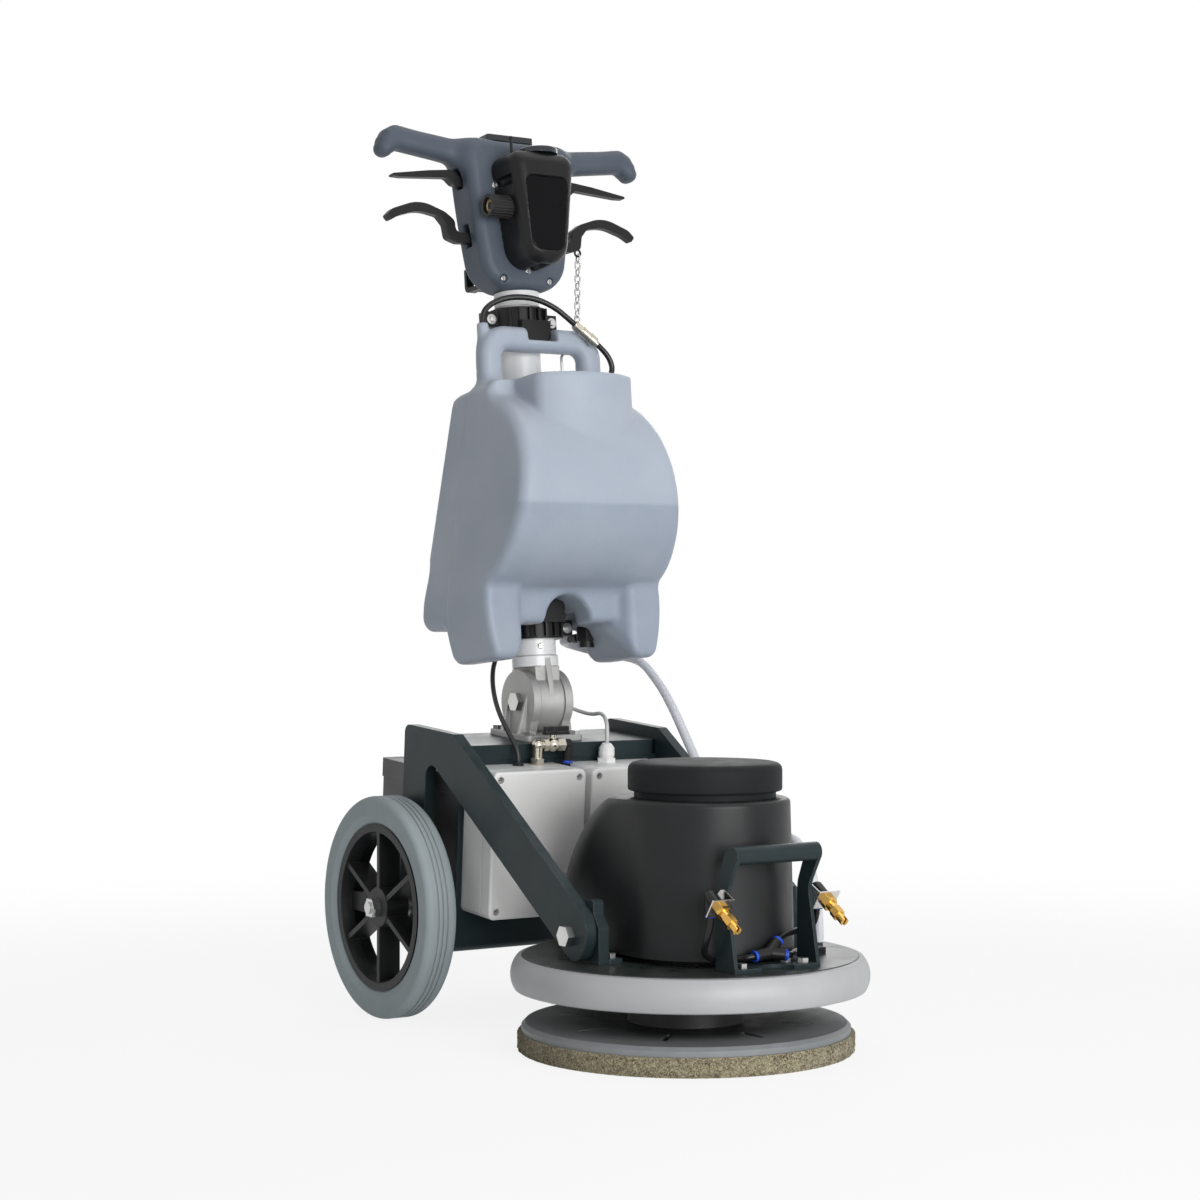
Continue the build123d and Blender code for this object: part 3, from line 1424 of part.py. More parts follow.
# Pivot lugs on the deck, just inside the arms of the frame
lug_outer_x = plate_inner - face_gap
lug_foot = 24.0
lug_foot_t = 6.0
lug_foot_lap = 1.0
lug_foot_corner = 5.0
lug_foot_x = lug_outer_x - lug_t - lug_foot / 2 + lug_foot_lap
lug_points = [
    (lug_front_y, deck_top_z),
    (lug_front_y, lug_top_z - 34),
    (lug_front_y + 12, lug_top_z - 17),
    (lug_front_y + 12, lug_top_z),
    (lug_front_y + 29, lug_top_z),
    (pivot_y - 12, lug_top_z - 14),
    (pivot_y + 15, pivot_z + 8),
    (lug_back_y, deck_top_z),
]
with BuildPart() as pivot_lugs:
    for side in (-1, 1):
        lug_plane = Plane((side * lug_outer_x, 0, 0), x_dir=(0, 1, 0), z_dir=(1, 0, 0))
        plate(lug_plane, lug_points, [0, 6, 8, 5, 5, 8, 14, 0], -side * lug_t)
        with BuildSketch(Plane.XY.offset(deck_top_z)):
            with Locations((side * lug_foot_x, (lug_front_y + lug_back_y) / 2)):
                RectangleRounded(lug_foot, lug_back_y - lug_front_y, lug_foot_corner)
        extrude(amount=lug_foot_t)
        rod(along_x(side * lug_outer_x, pivot), pivot_radius + run_fit, -side * lug_t, Mode.SUBTRACT)
save(pivot_lugs.part, "pivot_lugs")

# Drive motor standing on the deck, bored for the shaft
motor_flange_t = 12.0
motor_flange_lap = 10.0
motor_ribs = 18
motor_rib_l = 8.0
motor_rib_t = 3.0
motor_rib_drop = 24.0
motor_edge = 6.0
shaft_top_z = 156.0
with BuildPart() as drive_motor:
    rod(Plane.XY.offset(deck_top_z), motor_radius + motor_flange_lap, motor_flange_t)
    rod(Plane.XY.offset(deck_top_z), motor_radius, motor_top_z - deck_top_z)
    with BuildSketch(Plane.XY.offset(deck_top_z + motor_flange_t)):
        with PolarLocations(motor_radius, motor_ribs):
            Rectangle(motor_rib_l, motor_rib_t)
    extrude(amount=motor_top_z - deck_top_z - motor_flange_t - motor_rib_drop)
    chamfer(drive_motor.edges().group_by(Axis.Z)[-1], motor_edge)
    rod(Plane.XY.offset(deck_top_z), shaft_radius + run_fit, shaft_top_z - deck_top_z + 1, Mode.SUBTRACT)
save(drive_motor.part, "drive_motor")

# Eccentric shaft: the motor shaft, a counterweight and the offset journal that leads the pad in an orbit
pad_top_z = pad_t
driver_top_z = pad_t + driver_t
hub_top_z = 68.0
weight_low_z = hub_top_z + 2
weight_top_z = deck_bottom_z - 8
with BuildPart() as eccentric_shaft:
    rod(Plane.XY.offset(weight_top_z), shaft_radius, shaft_top_z - weight_top_z)
    with BuildSketch(Plane.XY.offset(weight_low_z)):
        Circle(weight_radius)
        with Locations((-weight_radius, 0)):
            Rectangle(weight_radius, 2 * weight_radius, mode=Mode.SUBTRACT)
        Circle(2 * journal_radius)
    extrude(amount=weight_top_z - weight_low_z)
    rod(Plane((-orbit, 0, driver_top_z + 2)), journal_radius, weight_low_z - driver_top_z - 2)
save(eccentric_shaft.part, "eccentric_shaft")

# Pad driver: a bevelled plate with a hub for the journal and a ring of slots, set off the drive axis
driver_slots = 8
driver_slot_l = 44.0
driver_slot_w = 9.0
driver_edge = 5.0
journal_seat = Plane((-orbit, 0, driver_top_z + 1))
with BuildPart() as pad_driver:
    rod(Plane((-orbit, 0, pad_top_z)), driver_radius, driver_t)
    chamfer(pad_driver.edges().group_by(Axis.Z)[-1], driver_edge)
    rod(Plane((-orbit, 0, driver_top_z)), driver_hub_radius, hub_top_z - driver_top_z)
    with BuildSketch(Plane((-orbit, 0, driver_top_z))):
        with PolarLocations((driver_hub_radius + driver_radius) / 2, driver_slots):
            SlotOverall(driver_slot_l, driver_slot_w)
    extrude(amount=-driver_t / 2, mode=Mode.SUBTRACT)
    rod(journal_seat, journal_radius + run_fit, hub_top_z - driver_top_z, Mode.SUBTRACT)
save(pad_driver.part, "pad_driver")

# Scrubbing pad
with BuildPart() as pad:
    rod(Plane((-orbit, 0, 0)), pad_radius, pad_t)
save(pad.part, "pad")

# Motor cover: a lofted shell, round in front and drawn out in a long curve to the rear, on four short feet
cover_foot_radius = 7.0
foot_inset = cover_foot_radius + cover_wall / 2
front_foot = (cover_front_low - foot_inset) * cos(radians(45))
rear_foot = (cover_rear_low - foot_inset) * cos(radians(45))
foot_places = [(side * front_foot, cover_y - front_foot) for side in (-1, 1)]
foot_places += [(side * rear_foot, cover_reach_low - cover_rear_low + rear_foot) for side in (-1, 1)]
cover_height = cover_crown_z - cover_low_z
with BuildPart() as motor_cover:
    for inset, mode in ((0, Mode.ADD), (cover_wall, Mode.SUBTRACT)):
        for i in range(cover_steps + 1):
            t = sin(radians(90 * i / cover_steps))
            front = cover_front_low + (cover_front_top - cover_front_low) * t
            rear = cover_rear_low + (cover_rear_top - cover_rear_low) * t
            reach = cover_reach_top + (cover_reach_low - cover_reach_top) * max(0, 1 - t**2) ** cover_curve
            rear_y = reach - rear
            tangent = asin((front - rear) / (rear_y - cover_y))
            rim_climb = max(0, cover_rim - cover_height * (1 - t))
            tuck = inset + cover_rim - sqrt(cover_rim**2 - rim_climb**2)
            front_point = Vector(cos(tangent), sin(tangent)) * (front - tuck) + Vector(0, cover_y)
            rear_point = Vector(cos(tangent), sin(tangent)) * (rear - tuck) + Vector(0, rear_y)
            front_left = (-front_point.X, front_point.Y)
            rear_left = (-rear_point.X, rear_point.Y)
            with BuildSketch(Plane.XY.offset(cover_low_z + (cover_height - inset) * t)):
                with BuildLine():
                    Line(front_point, rear_point)
                    ThreePointArc(rear_point, (0, reach - tuck), rear_left)
                    Line(rear_left, front_left)
                    ThreePointArc(front_left, (0, cover_y - front + tuck), front_point)
                make_face()
        loft(ruled=True, mode=mode)
    for x, y in foot_places:
        with BuildSketch(Plane.XY.offset(deck_top_z)):
            with Locations((x, y)):
                Circle(cover_foot_radius)
        extrude(amount=cover_low_z - deck_top_z + cover_foot_radius)
save(motor_cover.part, "motor_cover")

# Motor lid: a turned cap with a shadow neck, a skirt and a low crown
lid_rim = lid_radius - 7
lid_rim_z = lid_edge_z + 2
lid_side_z = lid_edge_z - 6
lid_roof = 4.0
crown_rise = lid_crown_z - lid_rim_z
crown_radius = (lid_rim**2 + crown_rise**2) / (2 * crown_rise)
crown_dip = crown_radius - (crown_radius**2 - lid_rim**2 / 4) ** 0.5
with BuildPart() as motor_lid:
    with BuildSketch(Plane((0, cover_y, 0), x_dir=(1, 0, 0), z_dir=(0, -1, 0))):
        with BuildLine():
            Polyline(
                (0, lid_crown_z),
                (0, cover_crown_z),
                (lid_neck_radius, cover_crown_z),
                (lid_neck_radius, lid_low_z),
                (lid_radius, lid_low_z),
                (lid_radius, lid_side_z),
            )
            ThreePointArc((lid_radius, lid_side_z), (lid_radius - 2, lid_edge_z - 1), (lid_rim, lid_rim_z))
            ThreePointArc((lid_rim, lid_rim_z), (lid_rim / 2, lid_crown_z - crown_dip), (0, lid_crown_z))
        make_face()
    revolve(axis=Axis((0, cover_y, 0), (0, 0, 1)))
    lid_hollow = lid_edge_z - cover_crown_z - lid_roof
    rod(Plane((0, cover_y, cover_crown_z)), lid_neck_radius - cover_wall, lid_hollow, Mode.SUBTRACT)
save(motor_lid.part, "motor_lid")

# Lifting handle: two bent uprights on a base plate with a round grip between them
upright = [
    (handle_front_y, deck_top_z),
    (handle_front_y + 19, handle_bend_z - 2),
    (handle_grip_y - 14, handle_grip_z),
    (handle_grip_y, handle_grip_z + 14),
    (handle_grip_y + 14, handle_grip_z + 4),
    (handle_back_y - 1, handle_bend_z + 2),
    (handle_back_y, deck_top_z),
]
base_t = 5.0
base_notch = 26.0
with BuildPart() as carry_handle:
    for side in (-1, 1):
        upright_plane = Plane((side * handle_half, 0, 0), x_dir=(0, 1, 0), z_dir=(1, 0, 0))
        plate(upright_plane, upright, [0, 30, 10, 8, 8, 30, 0], -side * handle_t)
    with BuildSketch(Plane.XY.offset(deck_top_z)):
        with Locations((0, (handle_front_y + handle_back_y) / 2)):
            Rectangle(2 * handle_half, handle_back_y - handle_front_y)
        with Locations((0, handle_front_y - 6)):
            Circle(base_notch, mode=Mode.SUBTRACT)
    extrude(amount=base_t)
    rod(along_x(-handle_half, Vector(0, handle_grip_y, handle_grip_z)), handle_grip_radius, 2 * handle_half)
save(carry_handle.part, "carry_handle")

# Spray nozzles, their stainless angle brackets and the push-in fittings behind them
dip = radians(nozzle_dip)
aim = Vector(0, -cos(dip), -sin(dip))
rise = Vector(0, -sin(dip), cos(dip))
bracket_t = 2.0
flange_half = 13.0
flange_reach = 32.0
elbow_leg = 22.0
elbow_back = 24.0
nozzle_hex_af = 17.0
nozzle_hex_t = 10.0
nozzle_neck = 6.5
nozzle_nut = 18.0
nozzle_nut_af = 14.0
nozzle_tip = 30.0
nozzle_tip_radius = 5.5
nozzle_end = 42.0
spray_slot_w = 3.0
spray_slot_l = 12.0
spray_slot_sink = 5.0


def nozzle_plane(side, along):
    seat = Vector(side * nozzle_x, nozzle_y, nozzle_z) + aim * along
    return Plane(seat, x_dir=(1, 0, 0), z_dir=aim)


with BuildPart() as nozzles:
    for side in (-1, 1):
        hexagon(nozzle_plane(side, 0), nozzle_hex_af, nozzle_hex_t)
        rod(nozzle_plane(side, 0), nozzle_neck, nozzle_nut)
        hexagon(nozzle_plane(side, nozzle_nut), nozzle_nut_af, nozzle_tip - nozzle_nut)
        rod(nozzle_plane(side, nozzle_tip), nozzle_tip_radius, nozzle_end - nozzle_tip)
        with BuildSketch(nozzle_plane(side, nozzle_end)):
            Rectangle(spray_slot_w, spray_slot_l)
        extrude(amount=-spray_slot_sink, mode=Mode.SUBTRACT)
save(nozzles.part, "nozzles")

flange_low = Vector(0, nozzle_y, nozzle_z) - rise * flange_half
flange_high = Vector(0, nozzle_y, nozzle_z) + rise * flange_half
bracket_points = [
    (flange_low.Y, flange_low.Z),
    (flange_high.Y, flange_high.Z),
    (handle_back_y - 6, handle_bend_z + 8),
    (handle_back_y - 6, handle_bend_z - 20),
]
with BuildPart() as nozzle_brackets:
    for side in (-1, 1):
        cheek_plane = Plane((side * handle_half, 0, 0), x_dir=(0, 1, 0), z_dir=(1, 0, 0))
        plate(cheek_plane, bracket_points, [0, 0, 12, 12], side * bracket_t)
        with BuildSketch(Plane(Vector(side * handle_half, nozzle_y, nozzle_z), x_dir=(1, 0, 0), z_dir=aim)):
            with Locations((side * flange_reach / 2, 0)):
                Rectangle(flange_reach, 2 * flange_half)
        extrude(amount=-bracket_t)
save(nozzle_brackets.part, "nozzle_brackets")

barb_x = 140.5
barb_y = -87.0
barb_top_z = 134.0
barb_hex_af = 17.0
barb_hex_t = 8.0
barb_pipe = 5.5
elbow_barrel = 8.0
elbow_foot = 7.5
tee_barrel = 7.5
tee_branch = 7.0
port_z = 127.0
port_reach = 15.0
port_dir = Vector(-0.85, -0.53, 0).normalized()
tee_in = Vector(-14, -160, 136)
tee_fork = Vector(4, -160, 138)
tee_out_high = Vector(23, -152, 149)
tee_out_low = Vector(25, -164, 135)
with BuildPart() as spray_fittings:
    for side in (-1, 1):
        rod(nozzle_plane(side, -bracket_t), elbow_barrel, bracket_t - elbow_back)
        corner = nozzle_plane(side, -elbow_back).origin
        with Locations(corner):
            Sphere(elbow_barrel)
        rod(Plane(corner, z_dir=(0, 0, -1)), elbow_foot, elbow_leg)
    rod(Plane(tee_in, z_dir=tee_fork - tee_in), tee_barrel, (tee_fork - tee_in).length)
    with Locations(tee_fork):
        Sphere(tee_barrel)
    for tip in (tee_out_high, tee_out_low):
        rod(Plane(tee_fork, z_dir=tip - tee_fork), tee_branch, (tip - tee_fork).length)
    rod(Plane((barb_x, barb_y, port_z), z_dir=port_dir), barb_pipe, port_reach)
    hexagon(Plane((barb_x, barb_y, deck_top_z)), barb_hex_af, barb_hex_t)
    rod(Plane((barb_x, barb_y, deck_top_z)), barb_pipe, barb_top_z - deck_top_z)
save(spray_fittings.part, "spray_fittings")

# Spray tubes between the fittings, led behind the uprights of the handle
left_leg = nozzle_plane(-1, -elbow_back).origin - Vector(0, 0, elbow_leg)
right_leg = nozzle_plane(1, -elbow_back).origin - Vector(0, 0, elbow_leg)
tee_in_dir = (tee_in - tee_fork).normalized()
behind_y = handle_back_y + spray_tube_radius + 1.5
with BuildPart() as spray_tubes:
    cord(
        [
            left_leg,
            left_leg - Vector(0, 0, 14),
            Vector(-83, -152, 160),
            Vector(-82, -144, 144),
            Vector(-73, behind_y - 1, 136),
            Vector(-58, behind_y, 133),
            Vector(-43, -144, 132),
            Vector(-31, -152, 133),
            tee_in + tee_in_dir * 9,
            tee_in,
        ],
        spray_tube_radius,
    )
    high_dir = (tee_out_high - tee_fork).normalized()
    cord(
        [
            tee_out_high,
            tee_out_high + high_dir * 9,
            Vector(46, -142, 157),
            Vector(60, behind_y, 159),
            Vector(74, behind_y - 1, 160),
            Vector(83, -144, 163),
            right_leg - Vector(0, 0, 14),
            right_leg,
        ],
        spray_tube_radius,
    )
    low_dir = (tee_out_low - tee_fork).normalized()
    cord(
        [
            tee_out_low,
            tee_out_low + low_dir * 8,
            Vector(48, -150, 133),
            Vector(60, behind_y, 133),
            Vector(78, -123, 132),
            Vector(98, -112, 130),
            Vector(barb_x, barb_y, port_z) + port_dir * (port_reach + 12),
            Vector(barb_x, barb_y, port_z) + port_dir * port_reach,
        ],
        spray_tube_radius,
    )
save(spray_tubes.part, "spray_tubes")

# Hose clip: a rubber-lined strap on the inner face of the right arm
clip = Vector(150.5, 108, 276)
clip_skin = 1.6
clip_width = 14.0
clip_slope = radians(20)
clip_tail = 30.0
clip_dir = Vector(0, -cos(clip_slope), -sin(clip_slope))
hose_joint = clip - clip_dir * clip_width / 2
with BuildPart() as hose_clip:
    with BuildSketch(Plane(hose_joint, x_dir=(1, 0, 0), z_dir=clip_dir)):
        Circle(hose_radius + clip_skin)
        with Locations((plate_inner - clip.X - clip_skin, -clip_tail / 2)):
            Rectangle(2 * clip_skin, clip_tail)
        Circle(hose_radius, mode=Mode.SUBTRACT)
    extrude(amount=clip_width)
save(hose_clip.part, "hose_clip")

# Feed hose over the tank's loop, joined by a quick coupler
coupler_start = column_at(46, -75, 523)
coupler_end = column_at(82, -75, 496.5)
coupler_dir = (coupler_end - coupler_start).normalized()
with BuildPart() as feed_hose:
    cord(
        [
            column_at(nub_x, nub_u, nub_top_v),
            column_at(nub_x, nub_u, nub_top_v + 11),
            column_at(-78, -47, 546),
            column_at(-60, -51, 556),
            column_at(-36, -57, 560.5),
            column_at(-8, -65, 557.5),
            column_at(18, -72, 545),
            coupler_start - coupler_dir * 12,
            coupler_start,
        ],
        feed_radius,
    )
    cord(
        [
            coupler_end,
            coupler_end + coupler_dir * 10,
            column_at(101, -76, 478),
            column_at(105.5, -76.5, 464),
            column_at(102, -76, 453),
            column_at(inlet_x, inlet_u, inlet_top_v + 11),
            column_at(inlet_x, inlet_u, inlet_top_v),
        ],
        feed_radius,
    )
save(feed_hose.part, "feed_hose")

coupler_length = (coupler_end - coupler_start).length
coupler = Plane(coupler_start, z_dir=coupler_dir)
coupler_core = 5.5
coupler_nut_af = 14.0
coupler_nut_t = 11.0
coupler_sleeve = 7.2
coupler_sleeve_l = 13.0
coupler_ring = 8.0
coupler_ring_l = 10.0
with BuildPart() as hose_coupler:
    rod(coupler, coupler_core, coupler_length)
    hexagon(coupler.offset(2), coupler_nut_af, coupler_nut_t)
    rod(coupler.offset(15), coupler_sleeve, coupler_sleeve_l)
    rod(coupler.offset(30), coupler_ring, coupler_ring_l)
save(hose_coupler.part, "hose_coupler")

# Tank hose: clear hose from the tank valve, round the right foot of the tank and down to the clip
with BuildPart() as tank_hose:
    cord(
        [
            column_at(outlet_x, barb_end_u, barb_v),
            column_at(outlet_x, barb_end_u + 16, barb_v),
            Vector(85, 432, 511),
            Vector(106, 439, 506),
            Vector(128, 433, 500),
            Vector(147, 419, 495),
            Vector(159, 397, 491),
            Vector(164, 370, 488),
            Vector(165, 343, 480),
            Vector(164, 314, 460),
            Vector(160, 287, 443),
            Vector(154, 249, 411),
            Vector(150, 212, 371),
            Vector(149, 181, 334),
            Vector(150, 155, 305),
            clip - clip_dir * 26,
            hose_joint,
        ],
        hose_radius - fixed_fit,
    )
save(tank_hose.part, "tank_hose")

# Deck hose: the same clear hose from the clip, beside the motor cover and down to the barb on the deck
with BuildPart() as deck_hose:
    cord(
        [
            hose_joint,
            clip + clip_dir * 22,
            Vector(149.5, 62, 263),
            Vector(147, 34, 264),
            Vector(144, 6, 266),
            Vector(141.5, -20, 265),
            Vector(140, -43, 258),
            Vector(140, -61, 243),
            Vector(140, -74, 219),
            Vector(140, -82, 192),
            Vector(barb_x, barb_y, 163),
            Vector(barb_x, barb_y, barb_top_z),
        ],
        hose_radius - fixed_fit,
    )
save(deck_hose.part, "deck_hose")

# Power cable from the column to the left enclosure, and signal cable from the gland round to the column
power_exit = column_at(-tube_radius, 0, 76)
with BuildPart() as power_cable:
    cord(
        [
            power_exit,
            power_exit - Vector(15, 0, 0),
            Vector(-62, 371, 497),
            Vector(-76, 361, 481),
            Vector(-86, 347, 458),
            Vector(-90, 332, 432),
            Vector(-88, 318, 408),
            Vector(-83, 303, 386),
            chassis_at(power_entry_x, fitting_r, enclosure_top_h + 18),
            chassis_at(power_entry_x, fitting_r, enclosure_top_h),
        ],
        power_radius,
    )
save(power_cable.part, "power_cable")

gland_tip_h = enclosure_top_h + gland_top
with BuildPart() as signal_cable:
    cord(
        [
            chassis_at(gland_x, fitting_r, gland_tip_h),
            chassis_at(gland_x, fitting_r, gland_tip_h + 14),
            Vector(67, 293, 402),
            Vector(73, 310, 411),
            Vector(81, 332, 413),
            Vector(87, 357, 410),
            Vector(88, 382, 411),
            Vector(82, 406, 417),
            Vector(68, 424, 428),
            Vector(49, 437, 444),
            Vector(29, 443, 462),
            Vector(13, 441, 479),
            Vector(4, 431, 491),
            column_at(0, tube_radius + 14, 68),
            column_at(0, tube_radius + fixed_fit, 68),
        ],
        signal_radius,
    )
save(signal_cable.part, "signal_cable")

# Frame bolts: the foot bolts of the tilt joint, its long bolt, the deck's pivot bolts and the wheel nuts
bolt_af = 13.0
bolt_radius = 4.0
bolt_head = 6.0
pivot_head = 10.0
pivot_af = 24.0
tilt_head = 8.0
nut_in_x = lug_outer_x - lug_t - face_gap
with BuildPart() as frame_bolts:
    with BuildSketch(chassis_up(0, tilt_r, cross_h + joint_base_t)):
        with GridLocations(*joint_bolt_grid, 2, 2):
            RegularPolygon(bolt_af / 2, 6, major_radius=False)
    extrude(amount=bolt_head)
    with BuildSketch(chassis_up(0, tilt_r, cross_h)):
        with GridLocations(*joint_bolt_grid, 2, 2):
            Circle(bolt_radius)
    extrude(amount=joint_base_t)
    tilt_end_x = cheek_x + cheek_t
    rod(along_x(-tilt_end_x, tilt), tilt_pin_radius, 2 * tilt_end_x)
    for side in (-1, 1):
        hexagon(along_x(side * tilt_end_x, tilt), pivot_af, side * tilt_head)
        hexagon(along_x(side * plate_x, pivot), pivot_af, side * pivot_head)
        rod(along_x(side * plate_x, pivot), pivot_radius, side * (nut_in_x - pivot_head - plate_x))
        hexagon(along_x(side * nut_in_x, pivot), pivot_af, -side * pivot_head)
        nut_plane = chassis_side(side * (hub_outer_x + face_gap))
        hexagon(nut_plane, axle_nut_af, side * (axle_nut_t - face_gap))
        rod(nut_plane, axle_radius + fixed_fit, side * axle_nut_t, Mode.SUBTRACT)
save(frame_bolts.part, "frame_bolts")

# Deck bolts: hexagon heads on the lug feet and on the base of the handle
lug_bolt_inset = 14.0
lug_bolt_rows = (lug_front_y + lug_bolt_inset, lug_back_y - lug_bolt_inset)
lug_bolts = [(side * lug_foot_x, y) for side in (-1, 1) for y in lug_bolt_rows]
handle_mid_y = (handle_front_y + handle_back_y) / 2
handle_bolts = [
    (-handle_half + 18, handle_mid_y - 8),
    (handle_half - 18, handle_mid_y - 8),
    (handle_half - 32, handle_mid_y + 9),
]
with BuildPart() as deck_bolts:
    for top_z, places in ((deck_top_z + lug_foot_t, lug_bolts), (deck_top_z + base_t, handle_bolts)):
        with BuildSketch(Plane.XY.offset(top_z)):
            with Locations(*places):
                RegularPolygon(bolt_af / 2, 6, major_radius=False)
        extrude(amount=bolt_head)
save(deck_bolts.part, "deck_bolts")
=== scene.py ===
import bpy
import bmesh
import random
import numpy as np
from math import asin, cos, pi, radians, sin, sqrt
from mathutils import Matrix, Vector, noise


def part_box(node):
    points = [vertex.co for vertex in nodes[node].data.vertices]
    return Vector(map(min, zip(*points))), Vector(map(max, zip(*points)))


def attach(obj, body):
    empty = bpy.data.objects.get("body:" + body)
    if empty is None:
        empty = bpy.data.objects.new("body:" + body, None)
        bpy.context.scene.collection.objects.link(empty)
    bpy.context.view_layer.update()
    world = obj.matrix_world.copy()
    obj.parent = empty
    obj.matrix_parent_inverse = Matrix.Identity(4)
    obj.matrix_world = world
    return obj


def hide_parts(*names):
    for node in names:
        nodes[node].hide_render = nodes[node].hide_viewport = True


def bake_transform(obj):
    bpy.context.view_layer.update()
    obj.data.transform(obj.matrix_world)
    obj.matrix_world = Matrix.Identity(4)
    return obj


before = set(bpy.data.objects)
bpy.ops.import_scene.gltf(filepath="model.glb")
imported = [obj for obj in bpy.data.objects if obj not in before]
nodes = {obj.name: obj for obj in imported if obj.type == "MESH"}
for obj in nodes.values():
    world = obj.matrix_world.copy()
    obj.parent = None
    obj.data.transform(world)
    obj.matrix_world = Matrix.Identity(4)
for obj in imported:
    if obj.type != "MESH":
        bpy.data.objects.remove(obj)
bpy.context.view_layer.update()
scene = bpy.context.scene
scene.view_settings.view_transform = "Standard"
print("frame loaded with", len(nodes), "nodes")

# Camera at the photograph's viewing angle
photoCamera = {
    "place": (-1.8986, -2.6698, 0.5709), "turn": -33.409, "tilt": 0.01, "lens": 76.83, "sensor": 36,
}
cameraData = bpy.data.cameras.new("photoCamera")
cameraData.lens = photoCamera["lens"]
cameraData.sensor_width = photoCamera["sensor"]
camera = bpy.data.objects.new("photoCamera", cameraData)
camera.location = photoCamera["place"]
camera.rotation_euler = (radians(90 + photoCamera["tilt"]), 0, radians(photoCamera["turn"]))
scene.collection.objects.link(camera)
scene.camera = camera
print("camera placed")


# Small helpers for shader trees
def addNode(tree, kind, **settings):
    node = tree.nodes.new(kind)
    for key, value in settings.items():
        setattr(node, key, value)
    return node


def wire(tree, source, target):
    tree.links.new(source, target)


def mathNode(tree, operation, first, second, clamp=False):
    node = addNode(tree, "ShaderNodeMath", operation=operation, use_clamp=clamp)
    for socket, value in zip(node.inputs, (first, second)):
        if isinstance(value, (int, float)):
            socket.default_value = value
        else:
            wire(tree, value, socket)
    return node.outputs[0]


def mapRange(tree, value, low, high, toLow=0.0, toHigh=1.0):
    node = addNode(tree, "ShaderNodeMapRange", interpolation_type="SMOOTHSTEP")
    for name, number in (("From Min", low), ("From Max", high), ("To Min", toLow), ("To Max", toHigh)):
        node.inputs[name].default_value = number
    wire(tree, value, node.inputs["Value"])
    return node.outputs["Result"]


def mixColor(tree, factor, first, second):
    node = addNode(tree, "ShaderNodeMix", data_type="RGBA")
    for socket, value in ((node.inputs[0], factor), (node.inputs[6], first), (node.inputs[7], second)):
        if isinstance(value, (int, float)):
            socket.default_value = value
        elif isinstance(value, tuple):
            socket.default_value = (*value, 1)
        else:
            wire(tree, value, socket)
    return node.outputs[2]


def noiseNode(tree, vector, scale, detail=2.0, roughness=0.5, distortion=0.0):
    node = addNode(tree, "ShaderNodeTexNoise")
    node.inputs["Detail"].default_value = detail
    node.inputs["Roughness"].default_value = roughness
    node.inputs["Distortion"].default_value = distortion
    if isinstance(scale, (int, float)):
        node.inputs["Scale"].default_value = scale
    else:
        wire(tree, scale, node.inputs["Scale"])
    wire(tree, vector, node.inputs["Vector"])
    return node.outputs["Fac"]


def newGroup(name, inputs, outputs):
    tree = bpy.data.node_groups.new(name, "ShaderNodeTree")
    for label, value in inputs:
        tree.interface.new_socket(label, in_out="INPUT", socket_type="NodeSocketFloat").default_value = value
    for label, kind in outputs:
        tree.interface.new_socket(label, in_out="OUTPUT", socket_type=kind)
    return tree, addNode(tree, "NodeGroupInput").outputs, addNode(tree, "NodeGroupOutput").inputs


def addGroup(tree, group, **values):
    node = addNode(tree, "ShaderNodeGroup", node_tree=group)
    for key, value in values.items():
        node.inputs[key].default_value = value
    return node.outputs


# Soft edges: a rounded normal, and a broken mask of the edges that rub
def makeSoftEdge():
    tree, given, result = newGroup(
        "softEdge",
        [("Width", 0.001), ("Patch", 60)],
        [("Normal", "NodeSocketVector"), ("Edge", "NodeSocketFloat")],
    )
    bevel = addNode(tree, "ShaderNodeBevel", samples=6)
    wire(tree, given["Width"], bevel.inputs["Radius"])
    geometry = addNode(tree, "ShaderNodeNewGeometry")
    dot = addNode(tree, "ShaderNodeVectorMath", operation="DOT_PRODUCT")
    wire(tree, bevel.outputs["Normal"], dot.inputs[0])
    wire(tree, geometry.outputs["Normal"], dot.inputs[1])
    place = addNode(tree, "ShaderNodeTexCoord").outputs["Object"]
    broken = mapRange(tree, noiseNode(tree, place, given["Patch"], 4, 0.6), 0.35, 0.65)
    turned = mapRange(tree, mathNode(tree, "SUBTRACT", 1, dot.outputs["Value"]), 0.02, 0.25)
    wire(tree, bevel.outputs["Normal"], result["Normal"])
    wire(tree, mathNode(tree, "MULTIPLY", turned, broken), result["Edge"])
    return tree


# Moulded or sprayed grain: fine height, and slow mottling of the tone
def makeGrain():
    tree, given, result = newGroup(
        "surfaceGrain",
        [("Fine", 900), ("Slow", 14)],
        [("Height", "NodeSocketFloat"), ("Mottle", "NodeSocketFloat"), ("PaintedGlint", "NodeSocketFloat")],
    )
    place = addNode(tree, "ShaderNodeTexCoord").outputs["Object"]
    fine = noiseNode(tree, place, given["Fine"], 3, 0.55)
    wire(tree, fine, result["Height"])
    wire(tree, mapRange(tree, noiseNode(tree, place, given["Slow"], 4, 0.6), 0.3, 0.7), result["Mottle"])
    # the brightest points of the fine grain, used as painted glints
    wire(tree, mapRange(tree, fine, 0.62, 0.72), result["PaintedGlint"])
    return tree


